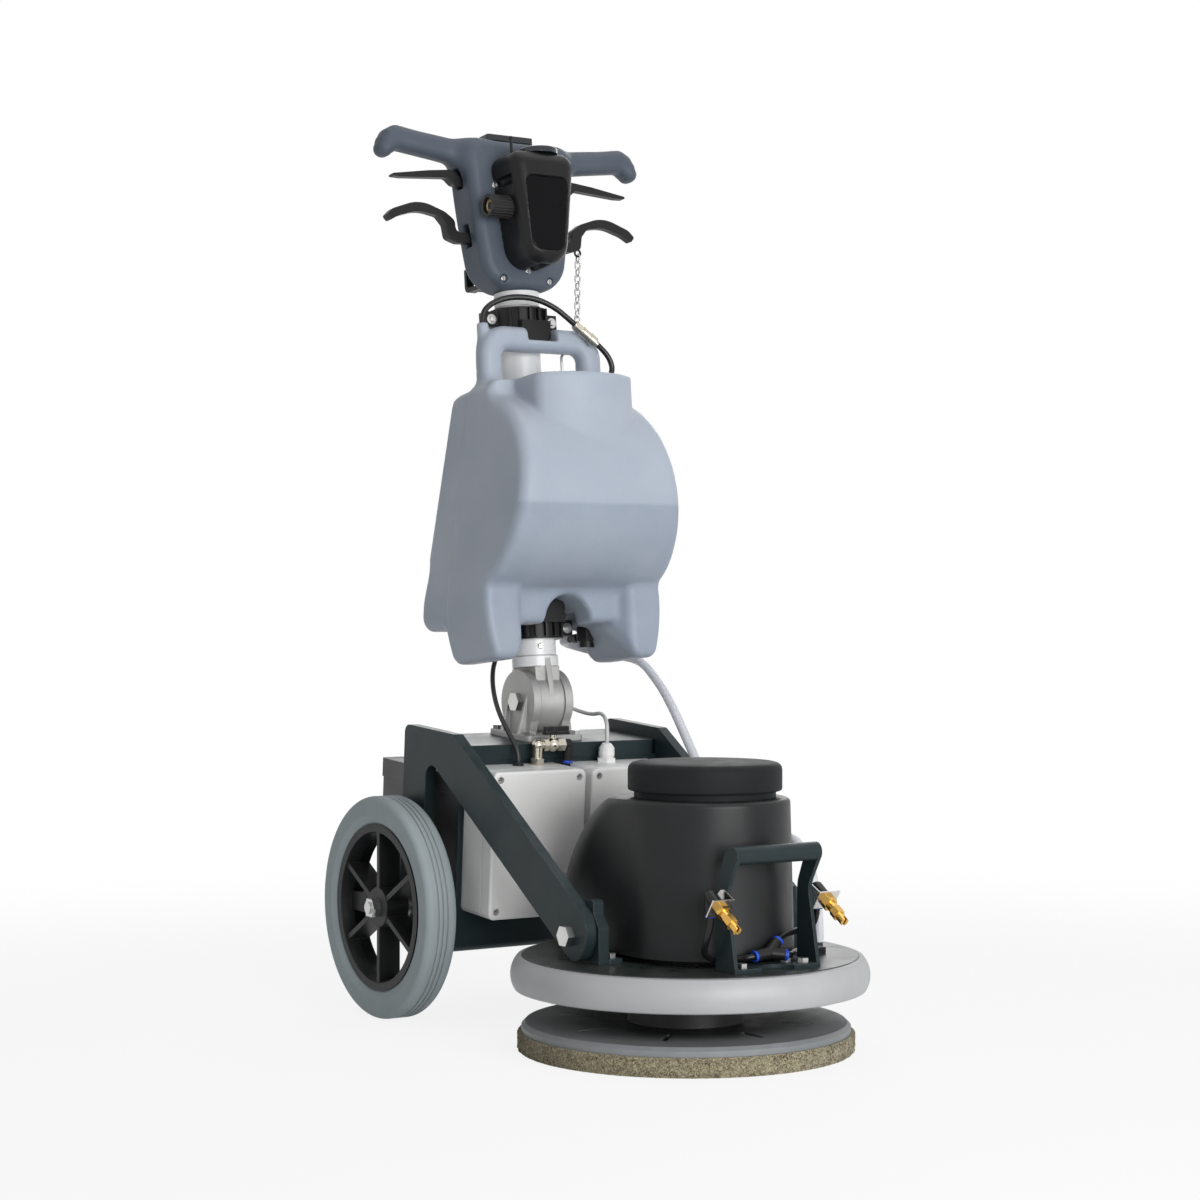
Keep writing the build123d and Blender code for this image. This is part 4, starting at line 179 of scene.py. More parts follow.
# Use: hand smudges that change the gloss, and dust that settles on what faces up
def makeHandling():
    tree, given, result = newGroup(
        "handling", [("Size", 9)], [("Smudge", "NodeSocketFloat"), ("Dust", "NodeSocketFloat")]
    )
    place = addNode(tree, "ShaderNodeTexCoord").outputs["Object"]
    smear = noiseNode(tree, place, given["Size"], 5, 0.6, 0.6)
    wire(tree, mapRange(tree, smear, 0.35, 0.7), result["Smudge"])
    split = addNode(tree, "ShaderNodeSeparateXYZ")
    wire(tree, addNode(tree, "ShaderNodeNewGeometry").outputs["Normal"], split.inputs[0])
    facing = mapRange(tree, split.outputs["Z"], 0.35, 0.95)
    patchy = mapRange(tree, noiseNode(tree, place, 34, 6, 0.65), 0.3, 0.75)
    wire(tree, mathNode(tree, "MULTIPLY", facing, patchy), result["Dust"])
    return tree


softEdge = makeSoftEdge()
surfaceGrain = makeGrain()
handling = makeHandling()
print("shader groups made")

# Shared finish: tone, mottling, rubbed edges, dust, gloss that varies and a fine bump
plainLook = {
    "tone": (0.5, 0.5, 0.5),
    "toneAlt": None,
    "rough": 0.45,
    "roughSpread": 0.12,
    "metallic": 0.0,
    "specular": 0.5,
    "fine": 900,
    "slow": 14,
    "depth": 0.00003,
    "edgeWidth": 0.0012,
    "edgeTone": None,
    "edgeShare": 0.5,
    "dust": 0.06,
    "dustTone": (0.45, 0.43, 0.4),
    "toneDrop": 0.82,
    "edgeLift": 0.18,
}


def lifted(tone, share):
    return tuple(value + (1 - value) * share for value in tone)


def newMaterial(name, settings):
    material = bpy.data.materials.new(name)
    material.use_nodes = True
    tree = material.node_tree
    inputs = tree.nodes["Principled BSDF"].inputs
    for key, value in settings.items():
        inputs[key].default_value = value
    return material, tree, inputs


def addBump(tree, inputs, height, depth, normal=None):
    bump = addNode(tree, "ShaderNodeBump")
    bump.inputs["Distance"].default_value = depth
    wire(tree, height, bump.inputs["Height"])
    if normal is not None:
        wire(tree, normal, bump.inputs["Normal"])
    wire(tree, bump.outputs["Normal"], inputs["Normal"])


def makeFinish(name, **changes):
    look = {**plainLook, **changes}
    settings = {"Metallic": look["metallic"], "Specular IOR Level": look["specular"]}
    material, tree, inputs = newMaterial(name, settings)
    edge = addGroup(tree, softEdge, Width=look["edgeWidth"])
    grain = addGroup(tree, surfaceGrain, Fine=look["fine"], Slow=look["slow"])
    use = addGroup(tree, handling)
    toneAlt = look["toneAlt"] or tuple(value * look["toneDrop"] for value in look["tone"])
    color = mixColor(tree, grain["Mottle"], look["tone"], toneAlt)
    rubbed = mathNode(tree, "MULTIPLY", edge["Edge"], look["edgeShare"])
    color = mixColor(tree, rubbed, color, look["edgeTone"] or lifted(look["tone"], look["edgeLift"]))
    dusty = mathNode(tree, "MULTIPLY", use["Dust"], look["dust"])
    color = mixColor(tree, dusty, color, look["dustTone"])
    wire(tree, color, inputs["Base Color"])
    gloss = mathNode(tree, "MULTIPLY", use["Smudge"], look["roughSpread"])
    gloss = mathNode(tree, "ADD", gloss, look["rough"] - look["roughSpread"] / 2)
    wire(tree, mathNode(tree, "ADD", gloss, dusty, clamp=True), inputs["Roughness"])
    addBump(tree, inputs, grain["Height"], look["depth"], edge["Normal"])
    return material


framePaint = makeFinish(
    "framePaint", tone=(0.02, 0.033, 0.036), rough=0.42, fine=620, depth=0.00006, edgeWidth=0.0016,
    specular=0.2,
)
deckPaint = makeFinish(
    "deckPaint", tone=(0.015, 0.023, 0.021), rough=0.3, fine=520, depth=0.00001, specular=0.3, dust=0.08,
)
boxPlastic = makeFinish(
    "boxPlastic", tone=(0.93, 0.93, 0.92), toneAlt=(0.9, 0.9, 0.89), rough=0.42, fine=1500, depth=0.00002,
    edgeWidth=0.002, edgeTone=(0.96, 0.96, 0.95), dust=0.02,
)
coverPlastic = makeFinish(
    "coverPlastic", tone=(0.013, 0.014, 0.015), rough=0.42, fine=1300, depth=0.00005, specular=0.25,
    dust=0.04,
)
hoodPlastic = makeFinish(
    "hoodPlastic", tone=(0.012, 0.012, 0.013), rough=0.36, fine=1000, depth=0.00006, specular=0.2,
    dust=0.03,
)
panelGloss = makeFinish(
    "panelGloss", tone=(0.004, 0.004, 0.005), rough=0.16, fine=300, depth=0.000002, specular=0.1,
    dust=0.01,
)
lidPlastic = makeFinish(
    "lidPlastic", tone=(0.014, 0.016, 0.017), rough=0.6, fine=1300, depth=0.00005, specular=0.12,
    dust=0.03,
)
blackPlastic = makeFinish(
    "blackPlastic", tone=(0.011, 0.011, 0.012), rough=0.42, fine=1400, depth=0.00003, specular=0.25,
)
fittingPlastic = makeFinish(
    "fittingPlastic", tone=(0.01, 0.01, 0.011), rough=0.34, fine=1600, depth=0.00002, specular=0.3,
)
rimPlastic = makeFinish(
    "rimPlastic", tone=(0.013, 0.014, 0.015), rough=0.46, fine=1000, depth=0.00005, specular=0.25,
    dust=0.06,
)
headPlastic = makeFinish(
    "headPlastic", tone=(0.085, 0.104, 0.134), toneAlt=(0.076, 0.093, 0.12), rough=0.5, fine=1500,
    depth=0.00008, specular=0.3, edgeWidth=0.003, edgeTone=(0.15, 0.17, 0.2), dust=0.04,
)
castAlloy = makeFinish(
    "castAlloy", tone=(0.48, 0.48, 0.47), toneAlt=(0.4, 0.4, 0.39), rough=0.56, metallic=0.6, fine=700,
    depth=0.0002, edgeWidth=0.002, edgeTone=(0.7, 0.71, 0.72), dust=0.08,
)
tubeWhite = makeFinish(
    "tubeWhite", tone=(0.83, 0.84, 0.84), toneAlt=(0.8, 0.81, 0.81), rough=0.28, fine=420, depth=0.00003,
    dust=0.02,
)
tyreGrey = makeFinish(
    "tyreGrey", tone=(0.38, 0.44, 0.46), toneAlt=(0.35, 0.405, 0.425), rough=0.66, fine=700,
    depth=0.00012, edgeWidth=0.003, edgeTone=(0.46, 0.46, 0.46), dust=0.12, specular=0.3,
)
bumperVinyl = makeFinish(
    "bumperVinyl", tone=(0.46, 0.47, 0.48), toneAlt=(0.42, 0.43, 0.44), rough=0.5, fine=900,
    depth=0.00006, edgeWidth=0.003, edgeTone=(0.53, 0.53, 0.53), slow=9, dust=0.08,
)
driverPlastic = makeFinish(
    "driverPlastic", tone=(0.25, 0.265, 0.275), rough=0.5, fine=1100, depth=0.00005, dust=0.15,
)
zincSteel = makeFinish(
    "zincSteel", tone=(0.62, 0.62, 0.6), toneAlt=(0.5, 0.51, 0.5), rough=0.3, metallic=1.0, fine=1200,
    depth=0.00002, edgeWidth=0.0006, edgeTone=(0.8, 0.8, 0.79), dust=0.02,
)
stainless = makeFinish(
    "stainless", tone=(0.66, 0.65, 0.63), toneAlt=(0.56, 0.55, 0.54), rough=0.26, metallic=1.0, fine=900,
    depth=0.00002, edgeWidth=0.0006, edgeTone=(0.8, 0.79, 0.78), dust=0.02,
)
nickelBrass = makeFinish(
    "nickelBrass", tone=(0.62, 0.58, 0.5), toneAlt=(0.54, 0.5, 0.42), rough=0.24, metallic=1.0, fine=1100,
    depth=0.00002, edgeWidth=0.0006, edgeTone=(0.78, 0.74, 0.66), dust=0.02,
)
brass = makeFinish(
    "brass", tone=(0.72, 0.44, 0.12), toneAlt=(0.6, 0.35, 0.08), rough=0.26, metallic=1.0, fine=1300,
    depth=0.00002, edgeWidth=0.0005, edgeTone=(0.88, 0.62, 0.24), dust=0.02,
)
shaftSteel = makeFinish(
    "shaftSteel", tone=(0.45, 0.45, 0.45), rough=0.34, metallic=1.0, fine=900, depth=0.00002,
)
motorIron = makeFinish("motorIron", tone=(0.05, 0.05, 0.055), rough=0.5, fine=500, depth=0.00008)
batteryCase = makeFinish(
    "batteryCase", tone=(0.03, 0.03, 0.034), rough=0.45, fine=800, depth=0.00006, dust=0.12,
)
lensGlass = makeFinish(
    "lensGlass", tone=(0.02, 0.026, 0.03), rough=0.12, roughSpread=0.06, fine=200, depth=0.000002,
    dust=0.03,
)
capPlastic = makeFinish(
    "capPlastic", tone=(0.36, 0.4, 0.47), toneAlt=(0.33, 0.37, 0.44), rough=0.4, fine=900, depth=0.00005,
    dust=0.03,
)
contactBronze = makeFinish(
    "contactBronze", tone=(0.34, 0.26, 0.15), toneAlt=(0.27, 0.2, 0.11), rough=0.38, metallic=1.0,
    fine=900, depth=0.00003, edgeWidth=0.0005, edgeTone=(0.5, 0.4, 0.25), dust=0.02,
)
screwGrey = makeFinish(
    "screwGrey", tone=(0.42, 0.42, 0.42), rough=0.38, fine=1200, depth=0.00003, edgeWidth=0.0004,
    dust=0.02,
)
colletBlue = makeFinish(
    "colletBlue", tone=(0.015, 0.09, 0.62), toneAlt=(0.012, 0.07, 0.52), rough=0.34, fine=1500,
    depth=0.00002, edgeWidth=0.0004, dust=0.0,
)
hoseBlack = makeFinish(
    "hoseBlack", tone=(0.01, 0.01, 0.011), rough=0.24, roughSpread=0.1, fine=900, depth=0.00002,
    specular=0.35, dust=0.03,
)
cableBlack = makeFinish(
    "cableBlack", tone=(0.014, 0.014, 0.015), rough=0.48, fine=900, depth=0.00004, dust=0.05,
)
cablePale = makeFinish(
    "cablePale", tone=(0.68, 0.69, 0.68), rough=0.45, fine=900, depth=0.00004, dust=0.05,
)


# Pad driver: painted shade, dark in the middle where the deck shades it, grey at the rim
driverPaintedShade = {"tone": (0.012, 0.012, 0.013), "inside": 0.11, "outside": 0.19}


def paintShadeUnderDeck(material, look):
    tree = material.node_tree
    base = tree.nodes["Principled BSDF"].inputs["Base Color"]
    flat = addNode(tree, "ShaderNodeVectorMath", operation="MULTIPLY")
    flat.inputs[1].default_value = (1, 1, 0)
    wire(tree, addNode(tree, "ShaderNodeTexCoord").outputs["Object"], flat.inputs[0])
    length = addNode(tree, "ShaderNodeVectorMath", operation="LENGTH")
    wire(tree, flat.outputs[0], length.inputs[0])
    # painted shade: the dark tone in the middle fades out towards the rim
    rim = mapRange(tree, length.outputs["Value"], look["inside"], look["outside"])
    wire(tree, mixColor(tree, rim, look["tone"], base.links[0].from_socket), base)


paintShadeUnderDeck(driverPlastic, driverPaintedShade)
print("shared finishes made")

# Tank wall: milky plastic that darkens below the liquid, seen through the wall, with painted glints on its
# grain and a painted highlight along the seam and the edges
tankLook = {
    "level": 0.7015, "soft": 0.0035, "dry": (0.4, 0.45, 0.53), "wet": (0.31, 0.36, 0.44),
    "wetFacing": (-0.5, -0.1), "rough": 0.36, "roughSpread": 0.14, "specular": 0.35,
    "fine": 560, "slow": 8, "smudge": 7, "depth": 0.0003,
    "scatter": 0.35, "scatterRadius": (0.6, 0.8, 1.0), "scatterScale": 0.02, "edgeWidth": 0.006,
    "seam": 0.3706, "seamWidth": (0.0005, 0.0013), "seamHighlightShare": 0.6, "pale": 0.3, "speck": 0.3, "cloud": 0.18,
    "rubAndHighlight": 0.3, "rubAndHighlightPale": 0.4,
}


def makeTankPlastic():
    look = tankLook
    material, tree, inputs = newMaterial("tankPlastic", {
        "Specular IOR Level": look["specular"],
        "Subsurface Weight": look["scatter"],
        "Subsurface Radius": look["scatterRadius"],
        "Subsurface Scale": look["scatterScale"],
    })
    split = addNode(tree, "ShaderNodeSeparateXYZ")
    wire(tree, addNode(tree, "ShaderNodeTexCoord").outputs["Object"], split.inputs[0])
    facing = addNode(tree, "ShaderNodeSeparateXYZ")
    wire(tree, addNode(tree, "ShaderNodeNewGeometry").outputs["Normal"], facing.inputs[0])
    turned = mapRange(tree, facing.outputs["Y"], *look["wetFacing"])
    low, high = look["level"] - look["soft"], look["level"] + look["soft"]
    above = mathNode(tree, "MAXIMUM", mapRange(tree, split.outputs["Z"], low, high), turned)
    grain = addGroup(tree, surfaceGrain, Fine=look["fine"], Slow=look["slow"])
    use = addGroup(tree, handling, Size=look["smudge"])
    edge = addGroup(tree, softEdge, Width=look["edgeWidth"])
    pale = lifted(look["dry"], look["pale"])
    color = mixColor(tree, above, look["wet"], look["dry"])
    # painted glints: the brightest grain points are lifted to the pale tone
    color = mixColor(tree, mathNode(tree, "MULTIPLY", grain["PaintedGlint"], look["speck"]), color, pale)
    # painted highlight: a pale band along the moulding seam, where its ridge catches the light
    aside = mathNode(tree, "SUBTRACT", split.outputs["Y"], look["seam"])
    aside = mathNode(tree, "ABSOLUTE", aside, 0)
    color = mixColor(tree, mapRange(tree, aside, *look["seamWidth"], look["seamHighlightShare"], 0), color, pale)
    color = mixColor(tree, mathNode(tree, "MULTIPLY", grain["Mottle"], look["cloud"]), color, pale)
    # edges lightened partly as rubbed wear and partly as painted highlight where the edges and the seam ridge
    # catch light
    rubbed = mathNode(tree, "MULTIPLY", edge["Edge"], look["rubAndHighlight"])
    color = mixColor(tree, rubbed, color, lifted(look["dry"], look["rubAndHighlightPale"]))
    wire(tree, color, inputs["Base Color"])
    gloss = mathNode(tree, "MULTIPLY", use["Smudge"], look["roughSpread"])
    wire(tree, mathNode(tree, "ADD", gloss, look["rough"]), inputs["Roughness"])
    addBump(tree, inputs, grain["Height"], look["depth"], edge["Normal"])
    return material


# Clear hose: soft vinyl that lets light through, with faint clouding along it
hoseLook = {
    "tone": (0.8, 0.8, 0.86), "toneAlt": (0.74, 0.75, 0.81), "clear": 0.15, "bending": 1.3, "rough": 0.16,
    "roughSpread": 0.15, "fine": 600, "slow": 40, "smudge": 20, "depth": 0.00005,
}


def makeClearHose():
    look = hoseLook
    settings = {"Transmission Weight": look["clear"], "IOR": look["bending"]}
    material, tree, inputs = newMaterial("clearHose", settings)
    grain = addGroup(tree, surfaceGrain, Fine=look["fine"], Slow=look["slow"])
    use = addGroup(tree, handling, Size=look["smudge"])
    wire(tree, mixColor(tree, grain["Mottle"], look["tone"], look["toneAlt"]), inputs["Base Color"])
    gloss = mathNode(tree, "MULTIPLY", use["Smudge"], look["roughSpread"])
    wire(tree, mathNode(tree, "ADD", gloss, look["rough"]), inputs["Roughness"])
    addBump(tree, inputs, grain["Height"], look["depth"])
    return material


# Pad fibre: open tangle of coarse tan fibres, with painted shade in the gaps between them
padLook = {
    "gap": (0.085, 0.068, 0.035), "fibre": (0.54, 0.475, 0.31), "clump": (0.51, 0.465, 0.32),
    "clumpShare": 0.35, "tangleScale": 420, "clumpScale": 70, "depth": 0.002,
    "rough": 0.9, "specular": 0.15, "sheen": 0.2, "sheenRough": 0.6,
}


def makePadFibre():
    look = padLook
    material, tree, inputs = newMaterial("padFibre", {
        "Roughness": look["rough"],
        "Specular IOR Level": look["specular"],
        "Sheen Weight": look["sheen"],
        "Sheen Roughness": look["sheenRough"],
    })
    place = addNode(tree, "ShaderNodeTexCoord").outputs["Object"]
    tangle = noiseNode(tree, place, look["tangleScale"], 6, 0.7, 1.2)
    clump = noiseNode(tree, place, look["clumpScale"], 4, 0.6, 0.5)
    # painted shade: the gaps in the tangle take the dark tone
    tone = mixColor(tree, mapRange(tree, tangle, 0.4, 0.6), look["gap"], look["fibre"])
    tone = mixColor(tree, mapRange(tree, clump, 0.4, 0.7, 0, look["clumpShare"]), tone, look["clump"])
    wire(tree, tone, inputs["Base Color"])
    addBump(tree, inputs, tangle, look["depth"])
    return material


tankPlastic = makeTankPlastic()
clearHose = makeClearHose()
padFibre = makePadFibre()
print("tank, hose and pad finishes made")


def dress(piece, finish):
    piece.data.materials.clear()
    piece.data.materials.append(finish)


# Finishes of the nodes that keep their own shape
nodeFinish = {
    framePaint: ["side_plate_left", "side_plate_right", "frame_box", "pivot_lugs", "carry_handle"],
    deckPaint: ["deck_plate"],
    boxPlastic: ["enclosures", "enclosure_lids", "cable_gland"],
    castAlloy: ["joint_base", "tilt_hub"],
    motorIron: ["drive_motor"],
    tubeWhite: ["column_tube"],
    blackPlastic: [
        "tank_clamps", "socket", "cable_hook", "hose_clip", "valve_lever", "motor_controller", "spray_pump",
        "tank_valve", "hose_elbow", "switch_lever_left", "switch_lever_right", "pull_lever_left",
        "pull_lever_right", "toggle_lever",
    ],
    fittingPlastic: ["spray_fittings"],
    rimPlastic: ["rim_left", "rim_right"],
    tyreGrey: ["tyre_left", "tyre_right"],
    bumperVinyl: ["bumper"],
    driverPlastic: ["pad_driver"],
    zincSteel: ["frame_bolts", "axle_studs", "deck_bolts", "chain"],
    stainless: ["nozzle_brackets"],
    nickelBrass: ["valve_body", "hose_coupler"],
    brass: ["nozzles"],
    shaftSteel: ["eccentric_shaft"],
    batteryCase: ["batteries"],
    lensGlass: ["display_panel", "gauge"],
}
for finish, names in nodeFinish.items():
    for name in names:
        dress(nodes[name], finish)
print("node finishes set")


# Cords: each is one smooth spline with its route's points as control points
cordMesh = {"order": 3, "steps": 10, "around": 6}


def routeCurve(name, points, radius):
    curve = bpy.data.curves.new(name, "CURVE")
    curve.dimensions = "3D"
    spline = curve.splines.new("NURBS")
    spline.points.add(len(points) - 1)
    for knot, point in zip(spline.points, points):
        knot.co = (*point, 1)
    spline.order_u = cordMesh["order"]
    spline.use_endpoint_u = True
    spline.resolution_u = cordMesh["steps"]
    curve.bevel_resolution = cordMesh["around"]
    curve.bevel_depth = radius
    curve.use_fill_caps = True
    piece = bpy.data.objects.new(name, curve)
    scene.collection.objects.link(piece)
    return piece


def meshOf(piece):
    bpy.context.view_layer.update()
    ready = piece.evaluated_get(bpy.context.evaluated_depsgraph_get())
    return bpy.data.meshes.new_from_object(ready)


def cordTube(name, points, radius):
    line = routeCurve(name + "Line", points, 0)
    line.data.use_fill_caps = False
    path = [tuple(vertex.co) for vertex in meshOf(line).vertices]
    line.data.bevel_depth = radius
    line.data.use_fill_caps = True
    tube = bpy.data.objects.new(name, meshOf(line))
    bpy.data.objects.remove(line)
    scene.collection.objects.link(tube)
    for face in tube.data.polygons:
        face.use_smooth = True
    return tube, path


# Spray tubes on the deck: left nozzle to Y fitting, Y fitting to right nozzle, Y fitting to the deck's port
sprayTubes = {
    "radius": 0.004,
    "routes": [
        [
            (-0.0816, -0.1582, 0.1916), (-0.0816, -0.1582, 0.1776), (-0.083, -0.152, 0.16),
            (-0.082, -0.144, 0.144), (-0.073, -0.1405, 0.136), (-0.058, -0.1395, 0.133),
            (-0.043, -0.144, 0.132), (-0.031, -0.152, 0.133), (-0.0229, -0.16, 0.135),
            (-0.014, -0.16, 0.136),
        ],
        [
            (0.023, -0.152, 0.149), (0.0303, -0.1489, 0.1532), (0.046, -0.142, 0.157),
            (0.06, -0.1395, 0.159), (0.074, -0.1405, 0.16), (0.083, -0.144, 0.163),
            (0.0816, -0.1582, 0.1776), (0.0816, -0.1582, 0.1916),
        ],
        [
            (0.025, -0.164, 0.135), (0.0328, -0.1655, 0.1339), (0.048, -0.15, 0.133),
            (0.06, -0.1395, 0.133), (0.078, -0.123, 0.132), (0.098, -0.112, 0.13),
            (0.1176, -0.1013, 0.127), (0.1278, -0.0949, 0.127),
        ],
    ],
    "lengths": [0.129, 0.098, 0.127],
}
for count, (route, length) in enumerate(zip(sprayTubes["routes"], sprayTubes["lengths"]), 1):
    piece = routeCurve(f"sprayTube{count}", route, sprayTubes["radius"])
    dress(piece, hoseBlack)
    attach(piece, "deck")
    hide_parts("spray_tubes")

# Feed hose over the tank's loop, in two stretches with the quick coupler between them
feedHose = {
    "radius": 0.004,
    "routes": [
        [
            (-0.086, 0.3732, 0.9539), (-0.086, 0.3743, 0.9649), (-0.078, 0.3735, 0.978),
            (-0.06, 0.3705, 0.9883), (-0.036, 0.365, 0.9934), (-0.008, 0.3567, 0.9912),
            (0.018, 0.3486, 0.9794), (0.0363, 0.3442, 0.9649), (0.046, 0.3435, 0.9578),
        ],
        [
            (0.082, 0.3409, 0.9314), (0.0901, 0.3404, 0.9255), (0.101, 0.3382, 0.9131),
            (0.1055, 0.3363, 0.8992), (0.102, 0.3358, 0.8882), (0.097, 0.336, 0.8801),
            (0.097, 0.3349, 0.8692),
        ],
    ],
    "lengths": [0.166, 0.073],
}
for count, (route, length) in enumerate(zip(feedHose["routes"], feedHose["lengths"]), 1):
    piece = routeCurve(f"feedHose{count}", route, feedHose["radius"])
    dress(piece, hoseBlack)
    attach(piece, "column")
    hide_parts("feed_hose")

# Hoses and cables that cross a joint: mesh tubes laid along their routes between the two bodies
tankHose = {
    "radius": 0.0064,
    "route": [
        (0.074, 0.3983, 0.5155), (0.074, 0.4143, 0.514), (0.085, 0.432, 0.511), (0.106, 0.439, 0.506),
        (0.128, 0.433, 0.5), (0.147, 0.419, 0.495), (0.159, 0.397, 0.491), (0.164, 0.37, 0.488),
        (0.165, 0.343, 0.48), (0.164, 0.314, 0.46), (0.16, 0.287, 0.443), (0.154, 0.249, 0.411),
        (0.15, 0.212, 0.371), (0.149, 0.181, 0.334), (0.15, 0.155, 0.305), (0.1505, 0.1324, 0.2849),
        (0.1505, 0.1146, 0.2784),
    ],
    "length": 0.494,
    "node": "tank_hose",
    "slot": "clear_hose",
    "finish": clearHose,
    "bend": ("column", "chassis", 1, 14),
    "stiffness": "medium",
}
deckHose = {
    "radius": 0.0064,
    "route": [
        (0.1505, 0.1146, 0.2784), (0.1505, 0.0873, 0.2685), (0.1495, 0.062, 0.263), (0.147, 0.034, 0.264),
        (0.144, 0.006, 0.266), (0.1415, -0.02, 0.265), (0.14, -0.043, 0.258), (0.14, -0.061, 0.243),
        (0.14, -0.074, 0.219), (0.14, -0.082, 0.192), (0.1405, -0.087, 0.163), (0.1405, -0.087, 0.134),
    ],
    "length": 0.298,
    "node": "deck_hose",
    "slot": "clear_hose",
    "finish": clearHose,
    "bend": ("chassis", "deck", 1, 10),
    "stiffness": "medium",
}
powerCable = {
    "radius": 0.00325,
    "route": [
        (-0.03, 0.3753, 0.5057), (-0.045, 0.3753, 0.5057), (-0.062, 0.371, 0.497), (-0.076, 0.361, 0.481),
        (-0.086, 0.347, 0.458), (-0.09, 0.332, 0.432), (-0.088, 0.318, 0.408), (-0.083, 0.303, 0.386),
        (-0.079, 0.2888, 0.365), (-0.079, 0.2901, 0.347),
    ],
    "length": 0.214,
    "node": "power_cable",
    "slot": "cable_black",
    "finish": cableBlack,
    "bend": ("column", "chassis", 1, 8),
    "stiffness": "medium",
}
signalCable = {
    "radius": 0.00275,
    "route": [
        (0.064, 0.2882, 0.3729), (0.064, 0.2873, 0.3869), (0.067, 0.293, 0.402), (0.073, 0.31, 0.411),
        (0.081, 0.332, 0.413), (0.087, 0.357, 0.41), (0.088, 0.382, 0.411), (0.082, 0.406, 0.417),
        (0.068, 0.424, 0.428), (0.049, 0.437, 0.444), (0.029, 0.443, 0.462), (0.013, 0.441, 0.479),
        (0.004, 0.431, 0.491), (0.0, 0.4183, 0.4935), (0.0, 0.4045, 0.4948),
    ],
    "length": 0.297,
    "node": "signal_cable",
    "slot": "cable_grey",
    "finish": cablePale,
    "bend": ("chassis", "column", 1, 13),
    "stiffness": "medium",
}
for name, hose in (
    ("tankHose", tankHose), ("deckHose", deckHose), ("powerCable", powerCable), ("signalCable", signalCable)
):
    route = hose["route"]
    tube, path = cordTube(name, route, hose["radius"])
    dress(tube, hose["finish"])
    before, after, first, last = hose["bend"]
    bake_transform(tube)
    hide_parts(hose["node"])
print("cords laid")


# Mesh helpers: a piece from a bmesh, and rings of points bridged into a skin
def pieceFrom(name, mesh, finish, body, sharp=35):
    bmesh.ops.recalc_face_normals(mesh, faces=mesh.faces)
    data = bpy.data.meshes.new(name)
    mesh.to_mesh(data)
    mesh.free()
    for face in data.polygons:
        face.use_smooth = True
    data.set_sharp_from_angle(angle=radians(sharp))
    piece = bpy.data.objects.new(name, data)
    scene.collection.objects.link(piece)
    dress(piece, finish)
    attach(piece, body)
    return piece


def addRings(mesh, rings, ends="capped"):
    loops = [[mesh.verts.new(point) for point in ring] for ring in rings]
    following = loops[1:] + loops[:1] if ends == "joined" else loops[1:]
    for low, high in zip(loops, following):
        for here in range(len(low)):
            there = (here + 1) % len(low)
            mesh.faces.new((low[here], low[there], high[there], high[here]))
    if ends == "capped":
        mesh.faces.new(loops[0])
        mesh.faces.new(loops[-1])
    return loops


# Rings of a turned profile, given as radius and height along the direction
def turnedRings(base, direction, profile, around):
    turn = Vector(direction).to_track_quat("Z", "Y").to_matrix()
    rings = []
    for radius, along in profile:
        ring = []
        for count in range(around):
            angle = 2 * pi * count / around
            ring.append(Vector(base) + turn @ Vector((radius * cos(angle), radius * sin(angle), along)))
        rings.append(ring)
    return rings


def addTube(mesh, base, direction, profile, around):
    addRings(mesh, turnedRings(base, direction, profile, around), ends="joined")


# Motor cover: round in front, drawn out to the rear, with a rolled rim under the lid
motorCover = {
    "axisY": -0.033, "low": 0.128, "crown": 0.322, "frontLow": 0.113, "frontTop": 0.108, "rearLow": 0.118,
    "rearTop": 0.1065, "reachLow": 0.213, "reachTop": 0.0865, "curve": 0.65, "rim": 0.006, "wall": 0.004,
    "steps": 44, "around": 48,
}


def coverRing(step, inset):
    look = motorCover
    rise = sin(radians(90 * step / look["steps"]))
    height = look["crown"] - look["low"]
    front = look["frontLow"] + (look["frontTop"] - look["frontLow"]) * rise
    rear = look["rearLow"] + (look["rearTop"] - look["rearLow"]) * rise
    stretch = max(0.0, 1 - rise**2) ** look["curve"]
    reach = look["reachTop"] + (look["reachLow"] - look["reachTop"]) * stretch
    rearY = reach - rear
    lean = asin((front - rear) / (rearY - look["axisY"]))
    climb = max(0.0, look["rim"] - height * (1 - rise))
    tuck = inset + look["rim"] - sqrt(look["rim"] ** 2 - climb**2)
    z = look["low"] + (height - inset) * rise
    ring = []
    half = look["around"]
    for centre, radius, start, sweep in (
        (look["axisY"], front - tuck, pi - lean, pi + 2 * lean), (rearY, rear - tuck, lean, pi - 2 * lean)
    ):
        for count in range(half + 1):
            angle = start + sweep * count / half
            ring.append(Vector((radius * cos(angle), centre + radius * sin(angle), z)))
    return ring


mesh = bmesh.new()
steps = motorCover["steps"]
outer = [coverRing(step, 0) for step in range(steps + 1)]
inner = [coverRing(step, motorCover["wall"]) for step in range(steps + 1)]
addRings(mesh, list(reversed(inner)) + outer)
piece = pieceFrom("motorCoverShell", mesh, coverPlastic, "deck", 40)
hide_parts("motor_cover")
print("motor cover shaped")

# Scrubbing pad: a thick disc of matted fibre with a ragged edge
scrubPad = {
    "around": 420, "sides": 9, "hole": 0.55, "flat": 0.97, "tuck": 0.006, "loose": 0.9,
    "ragged": 0.0016, "grain": 260, "fineGrain": 3.1, "fineShare": 0.5, "sag": 0.0006, "wave": 90,
}


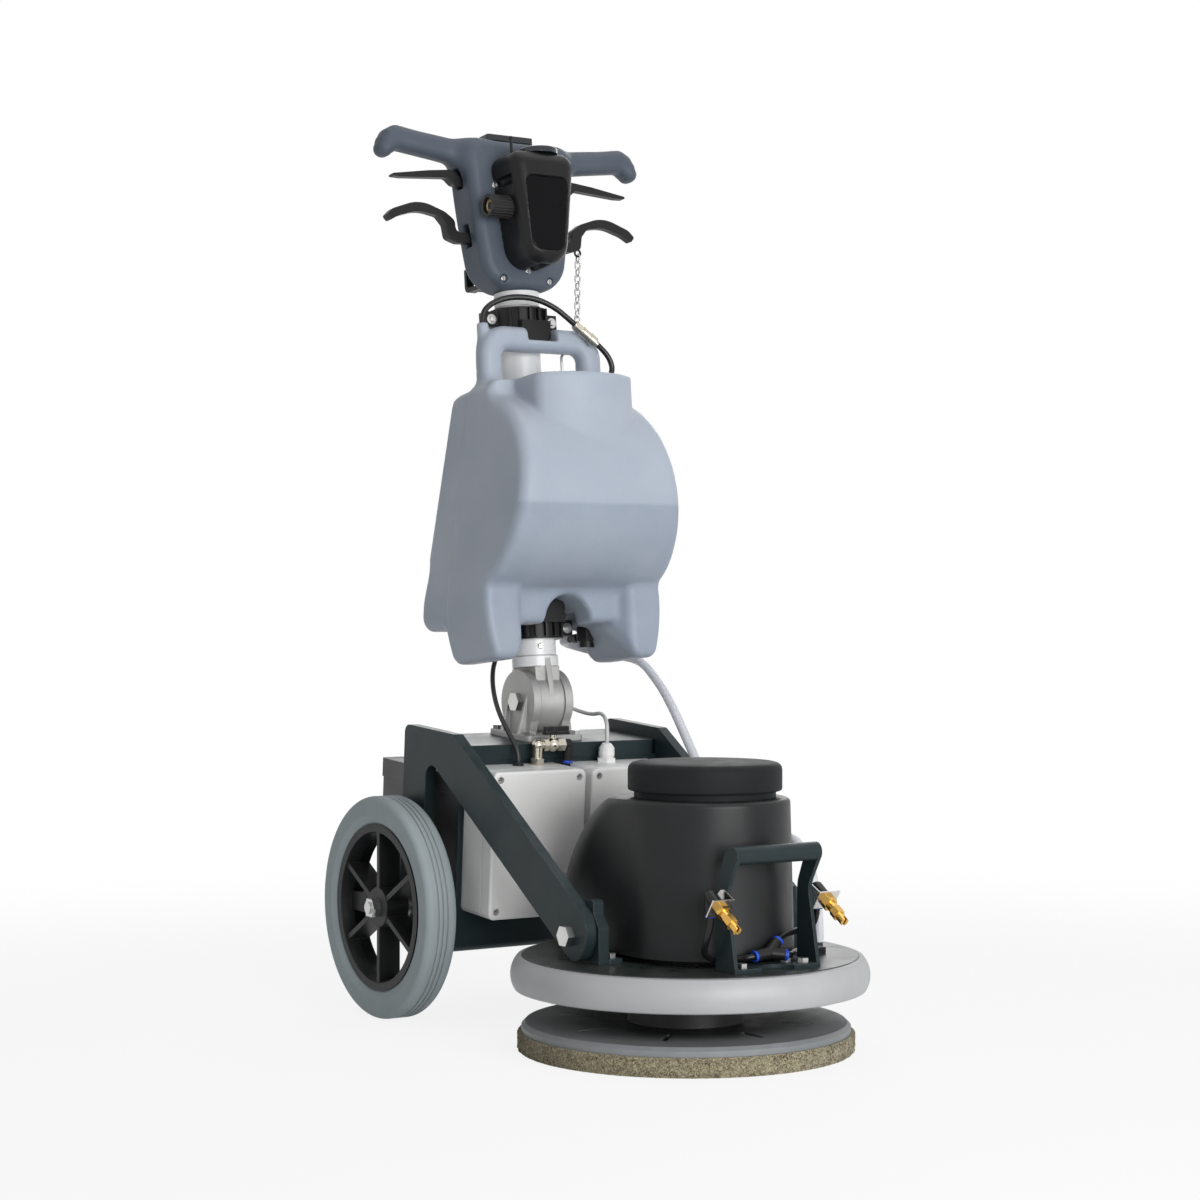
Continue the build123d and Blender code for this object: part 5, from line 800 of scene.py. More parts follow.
def makePad():
    look = scrubPad
    low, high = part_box("pad")
    centre = (low + high) / 2
    radius = (high.x - low.x) / 2 - look["ragged"]
    mesh = bmesh.new()
    profile = [(look["hole"], 0.0), (look["flat"], 0.0)]
    for count in range(look["sides"] + 1):
        level = count / look["sides"]
        profile.append((1.0 - look["tuck"] * abs(2 * count / look["sides"] - 1) ** 3, level))
    profile += [(look["flat"], 1.0), (look["hole"], 1.0)]
    rings = []
    for share, level in profile:
        ring = []
        for count in range(look["around"]):
            angle = 2 * pi * count / look["around"]
            z = low.z + (high.z - low.z) * level
            spot = Vector((cos(angle) * radius * share, sin(angle) * radius * share, z))
            fine = look["fineShare"] * noise.noise(spot * look["fineGrain"] * look["grain"])
            ragged = noise.noise(spot * look["grain"]) + fine
            push = look["ragged"] * ragged / (1 + look["fineShare"]) if share > look["loose"] else 0
            lift = look["sag"] * noise.noise(spot * look["wave"]) if 0 < level < 1 else 0
            out = Vector((cos(angle), sin(angle), 0))
            ring.append(Vector((centre.x, centre.y, 0)) + spot + out * push + Vector((0, 0, lift)))
        rings.append(ring)
    addRings(mesh, rings)
    return pieceFrom("scrubPad", mesh, padFibre, "pad", 60)


pad = makePad()
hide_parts("pad")

# Loose fibres that stand off the pad's edge
padFringe = {
    "count": 2600, "seed": 7, "thick": 0.0003, "bulge": (0.0004, 0.0019), "span": (0.012, 0.05),
    "slope": 0.007, "root": 1.4, "margin": 0.001, "inside": 0.0006, "steps": 5, "corners": 3,
}


def makeFringe():
    look = padFringe
    low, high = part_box("pad")
    centre = (low + high) / 2
    radius = (high.x - low.x) / 2 - look["root"] * scrubPad["ragged"]
    dice = random.Random(look["seed"])
    mesh = bmesh.new()
    for fibre in range(look["count"]):
        middle = dice.uniform(0, 2 * pi)
        level = dice.uniform(low.z + look["margin"], high.z - look["margin"])
        span = dice.uniform(*look["span"])
        slope = dice.uniform(-look["slope"], look["slope"])
        bulge = dice.uniform(*look["bulge"])
        rings = []
        for step in range(look["steps"] + 1):
            share = step / look["steps"]
            angle = middle + span * (share - 0.5)
            reach = radius + bulge * sin(pi * share)
            z = level + slope * (share - 0.5)
            z = min(max(z, low.z + look["inside"]), high.z - look["inside"])
            ring = []
            for corner in range(look["corners"]):
                turn = 2 * pi * corner / look["corners"]
                out = reach + look["thick"] * cos(turn)
                spot = Vector((out * cos(angle), out * sin(angle), z + look["thick"] * sin(turn)))
                ring.append(Vector((centre.x, centre.y, 0)) + spot)
            rings.append(ring)
        addRings(mesh, rings)
    return pieceFrom("padFringe", mesh, padFibre, "pad", 60)


makeFringe()
print("pad matted")

# Moulded forms: distance fields with rounded joins, skinned on a grid in the leaning column frame.
# x runs across, u to the rear and v up the column, all in millimetres
columnFrame = {"place": (0.368, 0.430), "along": (0.995396, 0.095846)}


def roundMax(first, second, radius):
    inside = np.minimum(np.maximum(first, second), -radius)
    return inside + np.hypot(np.maximum(first + radius, 0), np.maximum(second + radius, 0))


def roundMin(first, second, radius):
    return -roundMax(-first, -second, radius)


def roundedBox(across, up, halfAcross, halfUp, corner):
    beside = np.abs(across) - halfAcross + corner
    above = np.abs(up) - halfUp + corner
    outside = np.hypot(np.maximum(beside, 0), np.maximum(above, 0))
    return outside + np.minimum(np.maximum(beside, above), 0) - corner


# A net over the field's zero level: one point in each mixed cell, pulled onto the level,
# and a face round each crossed edge
def netPoints(values, inside, low, cell):
    size = np.array(values.shape) - 1
    steps = [(i, j, k) for i in (0, 1) for j in (0, 1) for k in (0, 1)]

    def corner(grid, step):
        return grid[tuple(slice(start, start + count) for start, count in zip(step, size))]

    filled = sum(corner(inside, step).astype(int) for step in steps)
    mixed = (filled > 0) & (filled < 8)
    cells = np.argwhere(mixed)
    total = np.zeros((len(cells), 3))
    hits = np.zeros(len(cells))
    for start in steps:
        for axis in range(3):
            if start[axis]:
                continue
            end = tuple(count + (axis == number) for number, count in enumerate(start))
            first, second = corner(values, start)[mixed], corner(values, end)[mixed]
            crossed = (first < 0) != (second < 0)
            share = np.where(crossed, first / np.where(crossed, first - second, 1), 0)
            spot = np.array(start, float) + share[:, None] * np.eye(3)[axis]
            total += np.where(crossed[:, None], spot, 0)
            hits += crossed
    index = np.full(size, -1)
    index[mixed] = np.arange(len(cells))
    return np.array(low) + (cells + total / hits[:, None]) * cell, index


def netFaces(inside, index):
    faces = []
    for axis in range(3):
        second, third = (axis + 1) % 3, (axis + 2) % 3
        near = np.moveaxis(inside, axis, 0)
        change = np.argwhere(near[:-1, 1:-1, 1:-1] != near[1:, 1:-1, 1:-1])
        spots = np.zeros_like(change)
        spots[:, axis] = change[:, 0]
        for column, other in enumerate([number for number in range(3) if number != axis], 1):
            spots[:, other] = change[:, column] + 1
        quad = []
        for stepSecond, stepThird in ((-1, -1), (0, -1), (0, 0), (-1, 0)):
            shift = np.zeros(3, int)
            shift[second], shift[third] = stepSecond, stepThird
            quad.append(index[tuple((spots + shift).T)])
        quad = np.stack(quad, axis=1)
        inward = ~inside[tuple(spots.T)]
        quad[inward] = quad[inward][:, ::-1]
        faces.append(quad)
    return np.concatenate(faces)


netPull = {"reach": 0.2, "turns": 2, "leastSlope": 0.25}


def settled(field, points, cell):
    reach = netPull["reach"]
    steps = reach * np.eye(3)
    for turn in range(netPull["turns"]):
        slopes = [(field(*(points + step).T) - field(*(points - step).T)) / (2 * reach) for step in steps]
        slope = np.stack(slopes, axis=1)
        steep = np.maximum((slope**2).sum(axis=1), netPull["leastSlope"])
        points = points - np.clip(field(*points.T) / steep, -cell / 2, cell / 2)[:, None] * slope
    return points


def columnPoint(x, u, v):
    (placeY, placeZ), (along, up) = columnFrame["place"], columnFrame["along"]
    return Vector((x / 1000, placeY + (along * u + up * v) / 1000, placeZ + (along * v - up * u) / 1000))


def columnWay(x, u, v):
    return columnPoint(x, u, v) - columnPoint(0, 0, 0)


def netMesh(field, form):
    axes = [np.arange(low, high, form["cell"]) for low, high in zip(form["low"], form["high"])]
    values = field(*np.meshgrid(*axes, indexing="ij"))
    points, index = netPoints(values, values < 0, form["low"], form["cell"])
    points = settled(field, points, form["cell"])
    mesh = bmesh.new()
    verts = [mesh.verts.new(columnPoint(*point)) for point in points.tolist()]
    for quad in netFaces(values < 0, index).tolist():
        mesh.faces.new([verts[number] for number in quad])
    return mesh


# A moulding seam: a fine ridge or groove where a plane crosses the skin
seamCut = {"snap": 0.0002, "near": 0.00005}


def scoreSeam(mesh, point, normal, half, lift):
    for shift in (-half, 0, half):
        everything = mesh.verts[:] + mesh.edges[:] + mesh.faces[:]
        spot = point + normal * shift
        bmesh.ops.bisect_plane(mesh, geom=everything, plane_co=spot, plane_no=normal, dist=seamCut["snap"])
    mesh.normal_update()
    for vert in mesh.verts:
        if abs((vert.co - point).dot(normal)) < seamCut["near"]:
            vert.co += vert.normal * lift


# A plane given as a point u, v and the two parts of its normal, and an upright round post
def plane(u, v, form):
    atU, atV, wayU, wayV = form
    return (u - atU) * wayU + (v - atV) * wayV


def post(x, u, v, form):
    ends = np.maximum(v - form["top"], form["low"] - v)
    return np.maximum(np.hypot(x - form["x"], u - form["u"]) - form["radius"], ends)


# Solution tank: barrel front, tapering flanks, feet, filler block and carrying loop run into one another
tankForm = {
    "cell": 3.2, "low": (-152, -206, 44), "high": (152, 84, 530), "seamHalf": 0.0011, "seamLift": 0.0005,
    "axis": (-61, 280), "barrel": 137,
    "front": (-61, 280, -0.433, 0.901), "under": (-61, 280, -0.901, -0.433),
    "rear": (10, 424, 0.983, 0.183), "top": (-61, 432, 0.112, 0.994), "belly": 102, "panel": -95,
    "flank": {"half": 141, "level": 160, "taper": 0.1199, "draw": 0.002135, "slant": 0.993},
    "foot": {
        "front": -113, "rear": 5, "sole": 52, "top": 172, "inner": 90, "splay": 0.55, "run": 60, "throat": 68,
        "spread": 0.56, "slant": 0.87,
    },
    "edge": {"small": 9, "growth": 8, "level": 140, "run": 60},
    "neck": {"x": 6, "u": -62.8, "radius": 121, "half": 78, "rear": -92, "top": 436, "low": 330},
    "loop": {"v": 431.5, "across": 98, "up": 86.5, "corner": 42, "u": -50, "thick": 16},
    "window": {"v": 458.5, "across": 65, "up": 26.5, "corner": 12},
    "stubs": [
        {"x": -86, "u": -45, "radius": 8, "low": 432, "top": 522},
        {"x": 97, "u": -75, "radius": 8, "low": 400, "top": 434},
    ],
    "groove": 30.8,
    "arch": {"v": 104, "radius": 37, "front": -120},
    "pocket": {"half": 60, "top": 120, "front": -52},
    "notch": {"half": 24, "low": 499.6},
    "filler": {"x": 36, "u": -124, "radius": 20, "low": 400},
    "rounds": {
        "crown": 30, "heel": 24, "shoulder": 16, "sill": 12, "front": 12, "toe": 12, "footHeel": 14,
        "footSide": 8, "footJoin": 7, "neckSide": 8, "neck": 4, "loop": 13, "loopJoin": 17, "stub": 5,
        "groove": 4, "arch": 6, "pocket": 3, "notch": 4, "filler": 2,
    },
}


def tankBody(side, u, v):
    form, rounds = tankForm, tankForm["rounds"]
    rear = plane(u, v, form["rear"])
    top = plane(u, v, form["top"])
    belly = form["belly"] - v
    axisU, axisV = form["axis"]
    barrel = np.maximum(np.hypot(u - axisU, v - axisV) - form["barrel"], rear)
    crown = roundMax(plane(u, v, form["front"]) - form["barrel"], top, rounds["crown"])
    wedge = np.maximum(np.maximum(crown, plane(u, v, form["under"])), np.maximum(rear, axisV - v))
    back = np.maximum(roundMax(rear, belly, rounds["heel"]), roundMax(rear, top, rounds["shoulder"]))
    back = np.maximum(back, roundMax(form["panel"] - u, belly, rounds["sill"]))
    profile = roundMin(np.minimum(barrel, wedge), back, rounds["front"])
    flank = form["flank"]
    below = np.maximum(flank["level"] - v, 0)
    half = flank["half"] - flank["taper"] * (v - flank["level"]) - flank["draw"] * below**2
    wall = (side - half) * flank["slant"]
    edge = form["edge"]
    soft = edge["small"] + edge["growth"] * np.clip((v - edge["level"]) / edge["run"], 0, 1)
    return roundMax(roundMin(profile, tankFoot(side, u, v), rounds["footJoin"]), wall, soft)


def tankFoot(side, u, v):
    foot, rounds = tankForm["foot"], tankForm["rounds"]
    toe = roundMax(foot["front"] - u, foot["sole"] - v, rounds["toe"])
    heel = roundMax(u - foot["rear"], foot["sole"] - v, rounds["footHeel"])
    block = np.maximum(toe, np.maximum(heel, v - foot["top"]))
    inner = foot["inner"] - foot["splay"] * np.clip(u - foot["front"], 0, foot["run"])
    block = roundMax(block, (inner - side) * foot["slant"], rounds["footSide"])
    throat = foot["throat"] + foot["spread"] * (tankForm["belly"] - v)
    return roundMax(block, (throat - side) * foot["slant"], rounds["footSide"])


def tankNeck(x, u, v):
    neck, rounds = tankForm["neck"], tankForm["rounds"]
    bow = np.hypot(x - neck["x"], u - neck["u"]) - neck["radius"]
    block = roundMax(bow, np.abs(x - neck["x"]) - neck["half"], rounds["neckSide"])
    block = roundMax(np.maximum(block, u - neck["rear"]), v - neck["top"], rounds["neck"])
    return np.maximum(block, neck["low"] - v)


def tankLoop(x, u, v):
    loop, window = tankForm["loop"], tankForm["window"]
    outside = roundedBox(x, v - loop["v"], loop["across"], loop["up"], loop["corner"])
    inside = roundedBox(x, v - window["v"], window["across"], window["up"], window["corner"])
    ring = np.maximum(outside, -inside)
    return roundMax(ring, np.abs(u - loop["u"]) - loop["thick"], tankForm["rounds"]["loop"])


def tankCuts(x, u, v):
    side = np.abs(x)
    groove, arch, pocket = tankForm["groove"], tankForm["arch"], tankForm["pocket"]
    notch, filler = tankForm["notch"], tankForm["filler"]
    bow = np.hypot(x, np.maximum(v - arch["v"], 0)) - arch["radius"]
    well = np.hypot(x - filler["x"], u - filler["u"]) - filler["radius"]
    return {
        "groove": np.minimum(np.hypot(x, u) - groove, np.maximum(side - groove, -u)),
        "arch": np.maximum(bow, arch["front"] - u),
        "pocket": np.maximum(np.maximum(side - pocket["half"], v - pocket["top"]), pocket["front"] - u),
        "notch": np.maximum(side - notch["half"], notch["low"] - v),
        "filler": np.maximum(well, filler["low"] - v),
    }


def tankField(x, u, v):
    rounds = tankForm["rounds"]
    whole = roundMin(tankBody(np.abs(x), u, v), tankNeck(x, u, v), rounds["neck"])
    whole = roundMin(whole, tankLoop(x, u, v), rounds["loopJoin"])
    for stub in tankForm["stubs"]:
        whole = roundMin(whole, post(x, u, v, stub), rounds["stub"])
    for name, cut in tankCuts(x, u, v).items():
        whole = roundMax(whole, -cut, rounds[name])
    return whole


mesh = netMesh(tankField, tankForm)
seamSpot, seamWay = Vector((0, tankLook["seam"], 0)), Vector((0, 1, 0))
scoreSeam(mesh, seamSpot, seamWay, tankForm["seamHalf"], tankForm["seamLift"])
piece = pieceFrom("tankSkin", mesh, tankPlastic, "column", 50)
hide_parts("tank")
print("tank moulded")

# Operator head: a shield-shaped body that runs out into two drooping grips, with slots for the levers
headForm = {
    "cell": 2.6, "low": (-232, -42, 566), "high": (232, 36, 820),
    "seamU": 6.0, "seamHalf": 0.0006, "seamLift": -0.0006,
    "sole": 577, "top": 790, "front": -32, "rear": 27,
    "half": 62, "flare": 0.2, "draw": 0.00036, "slant": 0.985,
    "grip": [
        (58, 768, 19), (90, 773, 17.5), (120, 777, 17), (150, 780.5, 16.6), (172, 783.5, 16.8),
        (184, 785, 17.2), (192, 781.5, 16.4), (198, 775.5, 14.6), (203, 768.5, 12),
    ],
    "gripU": 3, "gripThick": 17,
    "plinth": {"half": 36, "u": 8, "thick": 11, "low": 760, "top": 796},
    "screws": (38, 592), "screwWell": 5.5, "screwFloor": -26,
    "slots": [(736, 14), (656, 16)], "slotThick": 8.5, "slotFrom": 52,
    "rounds": {
        "sole": 40, "top": 26, "front": 15, "rear": 6, "grip": 14, "gripJoin": 22,
        "plinth": 4, "plinthJoin": 5, "screw": 1, "slot": 1.5,
    },
}


def thickLine(across, up, spots):
    nearest = None
    for (ax, ay, ar), (bx, by, br) in zip(spots, spots[1:]):
        length = (bx - ax) ** 2 + (by - ay) ** 2
        share = np.clip(((across - ax) * (bx - ax) + (up - ay) * (by - ay)) / length, 0, 1)
        gap = np.hypot(across - ax - share * (bx - ax), up - ay - share * (by - ay)) - ar - share * (br - ar)
        nearest = gap if nearest is None else np.minimum(nearest, gap)
    return nearest


def headField(x, u, v):
    form, rounds, plinth = headForm, headForm["rounds"], headForm["plinth"]
    side = np.abs(x)
    rise = v - form["sole"]
    half = form["half"] + form["flare"] * rise - form["draw"] * rise**2
    wall = (side - half) * form["slant"]
    body = roundMax(roundMax(wall, form["sole"] - v, rounds["sole"]), v - form["top"], rounds["top"])
    body = roundMax(roundMax(body, form["front"] - u, rounds["front"]), u - form["rear"], rounds["rear"])
    thick = np.abs(u - form["gripU"])
    grip = roundMax(thickLine(side, v, form["grip"]), thick - form["gripThick"], rounds["grip"])
    whole = roundMin(body, grip, rounds["gripJoin"])
    whole = np.maximum(np.maximum(whole, form["front"] - u), u - form["rear"])
    stand = roundMax(side - plinth["half"], np.abs(u - plinth["u"]) - plinth["thick"], rounds["plinth"])
    stand = np.maximum(stand, np.maximum(v - plinth["top"], plinth["low"] - v))
    whole = roundMin(whole, stand, rounds["plinthJoin"])
    screwX, screwV = form["screws"]
    well = np.hypot(side - screwX, v - screwV) - form["screwWell"]
    whole = roundMax(whole, -np.maximum(well, u - form["screwFloor"]), rounds["screw"])
    for middle, tall in form["slots"]:
        slot = np.maximum(thick - form["slotThick"], np.abs(v - middle) - tall)
        whole = roundMax(whole, -np.maximum(slot, form["slotFrom"] - side), rounds["slot"])
    return whole


mesh = netMesh(headField, headForm)
seamSpot, seamWay = columnPoint(0, headForm["seamU"], 0), columnWay(0, 1000, 0)
scoreSeam(mesh, seamSpot, seamWay, headForm["seamHalf"], headForm["seamLift"])
piece = pieceFrom("headShell", mesh, headPlastic, "column", 50)
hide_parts("head_front", "head_rear")
print("head moulded")

# Control cover: a tapering hood with a sunk panel and three wells for its screws
coverForm = {
    "cell": 1.7, "low": (-62, -106, 592), "high": (62, -24, 774),
    "sole": 604, "top": 762, "front": -97, "rear": -32, "half": 33, "flare": 21, "slant": 0.991,
    "bow": {"v": 690, "up": 100, "across": 50, "depth": 2},
    "wells": [(-47.5, 722), (47.5, 722), (0, 604)], "wellRadius": 6.5, "wellFront": -79,
    "rounds": {"sole": 27, "top": 22, "front": 19, "cut": 1.5},
}
panelForm = {
    "cell": 0.9, "low": (-40, -95, 614), "high": (40, -88, 734),
    "sole": 621, "top": 726, "half": 26, "flare": 9, "face": -92, "thick": 0.9, "gap": 0.9,
    "rounds": {"sole": 14, "top": 12},
}


def panelOutline(x, v):
    form, rounds = panelForm, panelForm["rounds"]
    half = form["half"] + form["flare"] * (v - form["sole"]) / (form["top"] - form["sole"])
    lower = roundMax(np.abs(x) - half, form["sole"] - v, rounds["sole"])
    return roundMax(lower, v - form["top"], rounds["top"])


def panelField(x, u, v):
    face = np.abs(u - panelForm["face"]) - panelForm["thick"]
    return np.maximum(panelOutline(x, v) + panelForm["gap"], face)


def coverField(x, u, v):
    form, rounds, bow = coverForm, coverForm["rounds"], coverForm["bow"]
    side = np.abs(x)
    half = form["half"] + form["flare"] * (v - form["sole"]) / (form["top"] - form["sole"])
    wall = (side - half) * form["slant"]
    shell = roundMax(roundMax(wall, form["sole"] - v, rounds["sole"]), v - form["top"], rounds["top"])
    front = form["front"] - u + ((v - bow["v"]) / bow["up"]) ** 2 * bow["depth"]
    front = front + (x / bow["across"]) ** 2 * bow["depth"]
    shell = np.maximum(roundMax(shell, front, rounds["front"]), u - form["rear"])
    whole = roundMax(shell, -np.maximum(panelOutline(x, v), u - panelForm["face"]), rounds["cut"])
    for wellX, wellV in form["wells"]:
        well = np.maximum(np.hypot(x - wellX, v - wellV) - form["wellRadius"], form["wellFront"] - u)
        whole = roundMax(whole, -well, rounds["cut"])
    return whole


mesh = netMesh(coverField, coverForm)
piece = pieceFrom("controlHood", mesh, hoodPlastic, "column", 50)
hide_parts("control_cover")
mesh = netMesh(panelField, panelForm)
pieceFrom("hoodPanel", mesh, panelGloss, "column", 50)
print("control cover moulded")

# Blue release collets at the mouths of the push-in fittings
collet = {
    "around": 40,
    "profile": [
        (0.0042, -0.001), (0.0066, -0.001), (0.0066, 0.00189), (0.0074, 0.00231), (0.0074, 0.00378),
        (0.0069, 0.0042), (0.0046, 0.0042), (0.0042, 0.00378),
    ],
}
colletSeats = []
for route in sprayTubes["routes"]:
    colletSeats.append((Vector(route[0]), Vector(route[1]) - Vector(route[0])))
    colletSeats.append((Vector(route[-1]), Vector(route[-2]) - Vector(route[-1])))
mesh = bmesh.new()
for base, direction in colletSeats[:-1]:  # the last tube ends in the deck's port
    addTube(mesh, base, direction, collet["profile"], collet["around"])
pieceFrom("sprayCollets", mesh, colletBlue, "deck")
print("deck collets seated")

# The frame's own tilted axes, in millimetres from the wheel axle, and the collet of the valve's elbow
chassisFrame = {"place": (0.420, 0.1516), "along": (cos(radians(4)), sin(radians(4)))}
valveElbow = {"mouth": (0, -116, 209)}


def chassisPoint(x, r, h):
    (placeY, placeZ), (along, up) = chassisFrame["place"], chassisFrame["along"]
    return Vector((x / 1000, placeY + (along * r - up * h) / 1000, placeZ + (up * r + along * h) / 1000))


def chassisWay(x, r, h):
    return chassisPoint(x, r, h) - chassisPoint(0, 0, 0)


mesh = bmesh.new()
mouth, way = chassisPoint(*valveElbow["mouth"]), chassisWay(0, 0, -1000)
addTube(mesh, mouth, way, collet["profile"], collet["around"])
pieceFrom("valveCollet", mesh, colletBlue, "chassis")
print("valve collet seated")

# Motor lid: a flat turned cap with a soft edge over a shadow neck
motorLid = {
    "base": (0, -0.033, 0), "around": 128,
    "profile": [
        (0.084, 0.3225), (0.09, 0.3225), (0.09, 0.331), (0.0955, 0.331), (0.0975, 0.332), (0.098, 0.334),
        (0.098, 0.357), (0.0974, 0.3604), (0.0956, 0.3634), (0.0926, 0.3656), (0.088, 0.3668),
        (0.07, 0.368), (0.04, 0.3688), (0.008, 0.369),
    ],
}
mesh = bmesh.new()
addRings(mesh, turnedRings(motorLid["base"], (0, 0, 1), motorLid["profile"], motorLid["around"]))
piece = pieceFrom("motorLidCap", mesh, lidPlastic, "deck", 50)
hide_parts("motor_lid")
print("motor lid turned")

# Hub collar: the painted ring that the column tube stands in
hubCollar = {
    "place": (0, 0, 47.6), "around": 72,
    "profile": [
        (0.0312, 0.0), (0.0319, 0.0), (0.0325, 0.0006), (0.0325, 0.014), (0.0319, 0.0146), (0.0312, 0.0146),
    ],
}
mesh = bmesh.new()
base, way = columnPoint(*hubCollar["place"]), columnWay(0, 0, 1000)
addTube(mesh, base, way, hubCollar["profile"], hubCollar["around"])
pieceFrom("hubCollar", mesh, tubeWhite, "column")
print("hub collar fitted")

# Grommet where the power cable enters the left enclosure
grommet = {
    "around": 36,
    "profile": [
        (0.0034, -0.001), (0.0078, -0.001), (0.0078, 0.0014), (0.00624, 0.0026), (0.005, 0.0048),
        (0.0034, 0.0048),
    ],
}
end, before = Vector(powerCable["route"][-1]), Vector(powerCable["route"][-2])
mesh = bmesh.new()
addTube(mesh, end, before - end, grommet["profile"], grommet["around"])
pieceFrom("cableGrommet", mesh, blackPlastic, "chassis")
print("grommet fitted")

# Filler cap: low and ribbed, in the tank's own plastic, with a plug for the filler
fillerCap = {
    "place": (36, -124, 436.4), "radius": 0.025, "ribs": 40, "rib": 0.0007, "around": 160,
    "profile": [
        (0.016, -0.008), (0.0178, -0.007), (0.0178, 0.0), (0.025, 0.0), (0.025, 0.0046), (0.0238, 0.006),
        (0.021, 0.0064), (0.0195, 0.0058), (0.012, 0.0062), (0.004, 0.0064),
    ],
}
mesh = bmesh.new()
rings = []
for radius, rise in fillerCap["profile"]:
    rib = fillerCap["rib"] if radius == fillerCap["radius"] else 0
    ring = []
    for count in range(fillerCap["around"]):
        angle = 2 * pi * count / fillerCap["around"]
        ribbed = radius + rib * sin(fillerCap["ribs"] * angle)
        spot = columnWay(1000 * ribbed * cos(angle), 1000 * ribbed * sin(angle), 1000 * rise)
        ring.append(columnPoint(*fillerCap["place"]) + spot)
    rings.append(ring)
addRings(mesh, rings)
piece = pieceFrom("fillerCap", mesh, capPlastic, "cap", 40)
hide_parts("tank_cap")
print("filler cap turned")

# Charging socket: the contact ring inside the moulded shroud
socketFace = {
    "place": (-68, -60, 685), "around": 48,
    "profile": [
        (0.005, 0.0), (0.0112, 0.0), (0.0112, 0.005), (0.0104, 0.0058), (0.0084, 0.0058), (0.0078, 0.0048),
        (0.005, 0.0048),
    ],
}
mesh = bmesh.new()
addTube(mesh, columnPoint(*socketFace["place"]), (-1, 0, 0), socketFace["profile"], socketFace["around"])
pieceFrom("socketContact", mesh, contactBronze, "column")
print("socket contact fitted")

# Screws and bolts: turned heads with a driven recess or six flats
screwHead = {"around": 48, "long": 0.62, "thin": 0.15}
panProfile = [(1.0, 0.0, "round"), (1.0, 0.4, "round"), (0.9, 0.8, "round"), (0.74, 1.0, "round")]
crossProfile = panProfile + [(1.0, 1.0, "cross"), (0.9, 0.3, "cross")]
slotProfile = panProfile + [(1.3, 1.0, "slot"), (1.3, 0.45, "slot")]
boltProfile = [
    (1.55, 0.0, "round"), (1.55, 0.22, "round"), (1.45, 0.28, "round"), (0.98, 0.28, "hex"),
    (0.98, 0.9, "hex"), (0.88, 1.0, "round"), (0.4, 1.02, "round"),
]


def headReach(kind, angle):
    across, along = abs(cos(angle)) + 0.00001, abs(sin(angle)) + 0.00001
    bar = min(screwHead["long"] / across, screwHead["thin"] / along)
    if kind == "slot":
        return bar
    if kind == "cross":
        return max(bar, min(screwHead["thin"] / across, screwHead["long"] / along))
    if kind == "hex":
        return cos(pi / 6) / cos(angle % (pi / 3) - pi / 6)
    return 1.0


def addHead(mesh, base, direction, profile, radius, height):
    turn = Vector(direction).to_track_quat("Z", "Y").to_matrix()
    rings = []
    for share, rise, kind in profile:
        ring = []
        for count in range(screwHead["around"]):
            angle = 2 * pi * (count + 0.5) / screwHead["around"]
            reach = radius * share * headReach(kind, angle)
            ring.append(Vector(base) + turn @ Vector((reach * cos(angle), reach * sin(angle), rise * height)))
        rings.append(ring)
    addRings(mesh, rings)


headScrews = {"spots": [(-38, -26.2, 592), (38, -26.2, 592)], "radius": 0.0044, "height": 0.003}
hoodScrews = {
    "spots": [(-47.5, -32.2, 722), (47.5, -32.2, 722), (0, -32.2, 604)], "radius": 0.005, "height": 0.0034,
}
clampBolts = {"across": 49.5, "front": -10, "levels": (101.5, 536.5), "radius": 0.0048, "height": 0.0056}
tubeScrew = {"spot": (-8, -28.8, 75.4), "way": (-8, -29, 0), "radius": 0.0042, "height": 0.0028}
lidScrews = {
    "across": (-140, -16, 16, 140), "levels": (17, 193), "base": -154, "radius": 0.0039, "height": 0.0145,
}
mesh = bmesh.new()
forward = columnWay(0, -1000, 0)
for look in (headScrews, hoodScrews):
    for spot in look["spots"]:
        addHead(mesh, columnPoint(*spot), forward, crossProfile, look["radius"], look["height"])
for level in clampBolts["levels"]:
    for side in (-1, 1):
        base = columnPoint(side * clampBolts["across"], clampBolts["front"], level)
        addHead(mesh, base, forward, boltProfile, clampBolts["radius"], clampBolts["height"])
base, way = columnPoint(*tubeScrew["spot"]), columnWay(*tubeScrew["way"])
addHead(mesh, base, way, crossProfile, tubeScrew["radius"], tubeScrew["height"])
pieceFrom("columnScrews", mesh, zincSteel, "column", 30)
mesh = bmesh.new()
for across in lidScrews["across"]:
    for level in lidScrews["levels"]:
        base = chassisPoint(across, lidScrews["base"], level)
        addHead(mesh, base, chassisWay(0, -1000, 0), slotProfile, lidScrews["radius"], lidScrews["height"])
pieceFrom("lidScrews", mesh, screwGrey, "chassis", 30)
print("screws driven")

# Studio: a pale floor that fades into the white surround, a key light from the front and soft fills.
# Each lamp has its place, what it points at, its size and its power
studio = {
    "rings": (0.02, 0.5, 1.5, 3.5, 6.0), "around": 96, "drop": 0.0005, "speckScale": 900, "tone": (0.86, 0.9),
    "fadeFrom": 0.9, "fadeTo": 2.4, "glow": 0.86, "ambient": 0.2,
    "lamps": {
        "keyLamp": ((-0.2, -3.1, 0.95), (0, 0.1, 0.5), (2.4, 1.7), 84),
        "topLamp": ((0.3, -0.2, 3.0), (0, 0.15, 0.4), (2.2, 2.2), 16),
        "leftLamp": ((-2.8, -0.2, 1.0), (0, 0.1, 0.5), (1.0, 2.0), 2),
        "backLamp": ((1.8, 2.4, 1.8), (0, 0.2, 0.6), (1.6, 1.8), 20),
    },
}


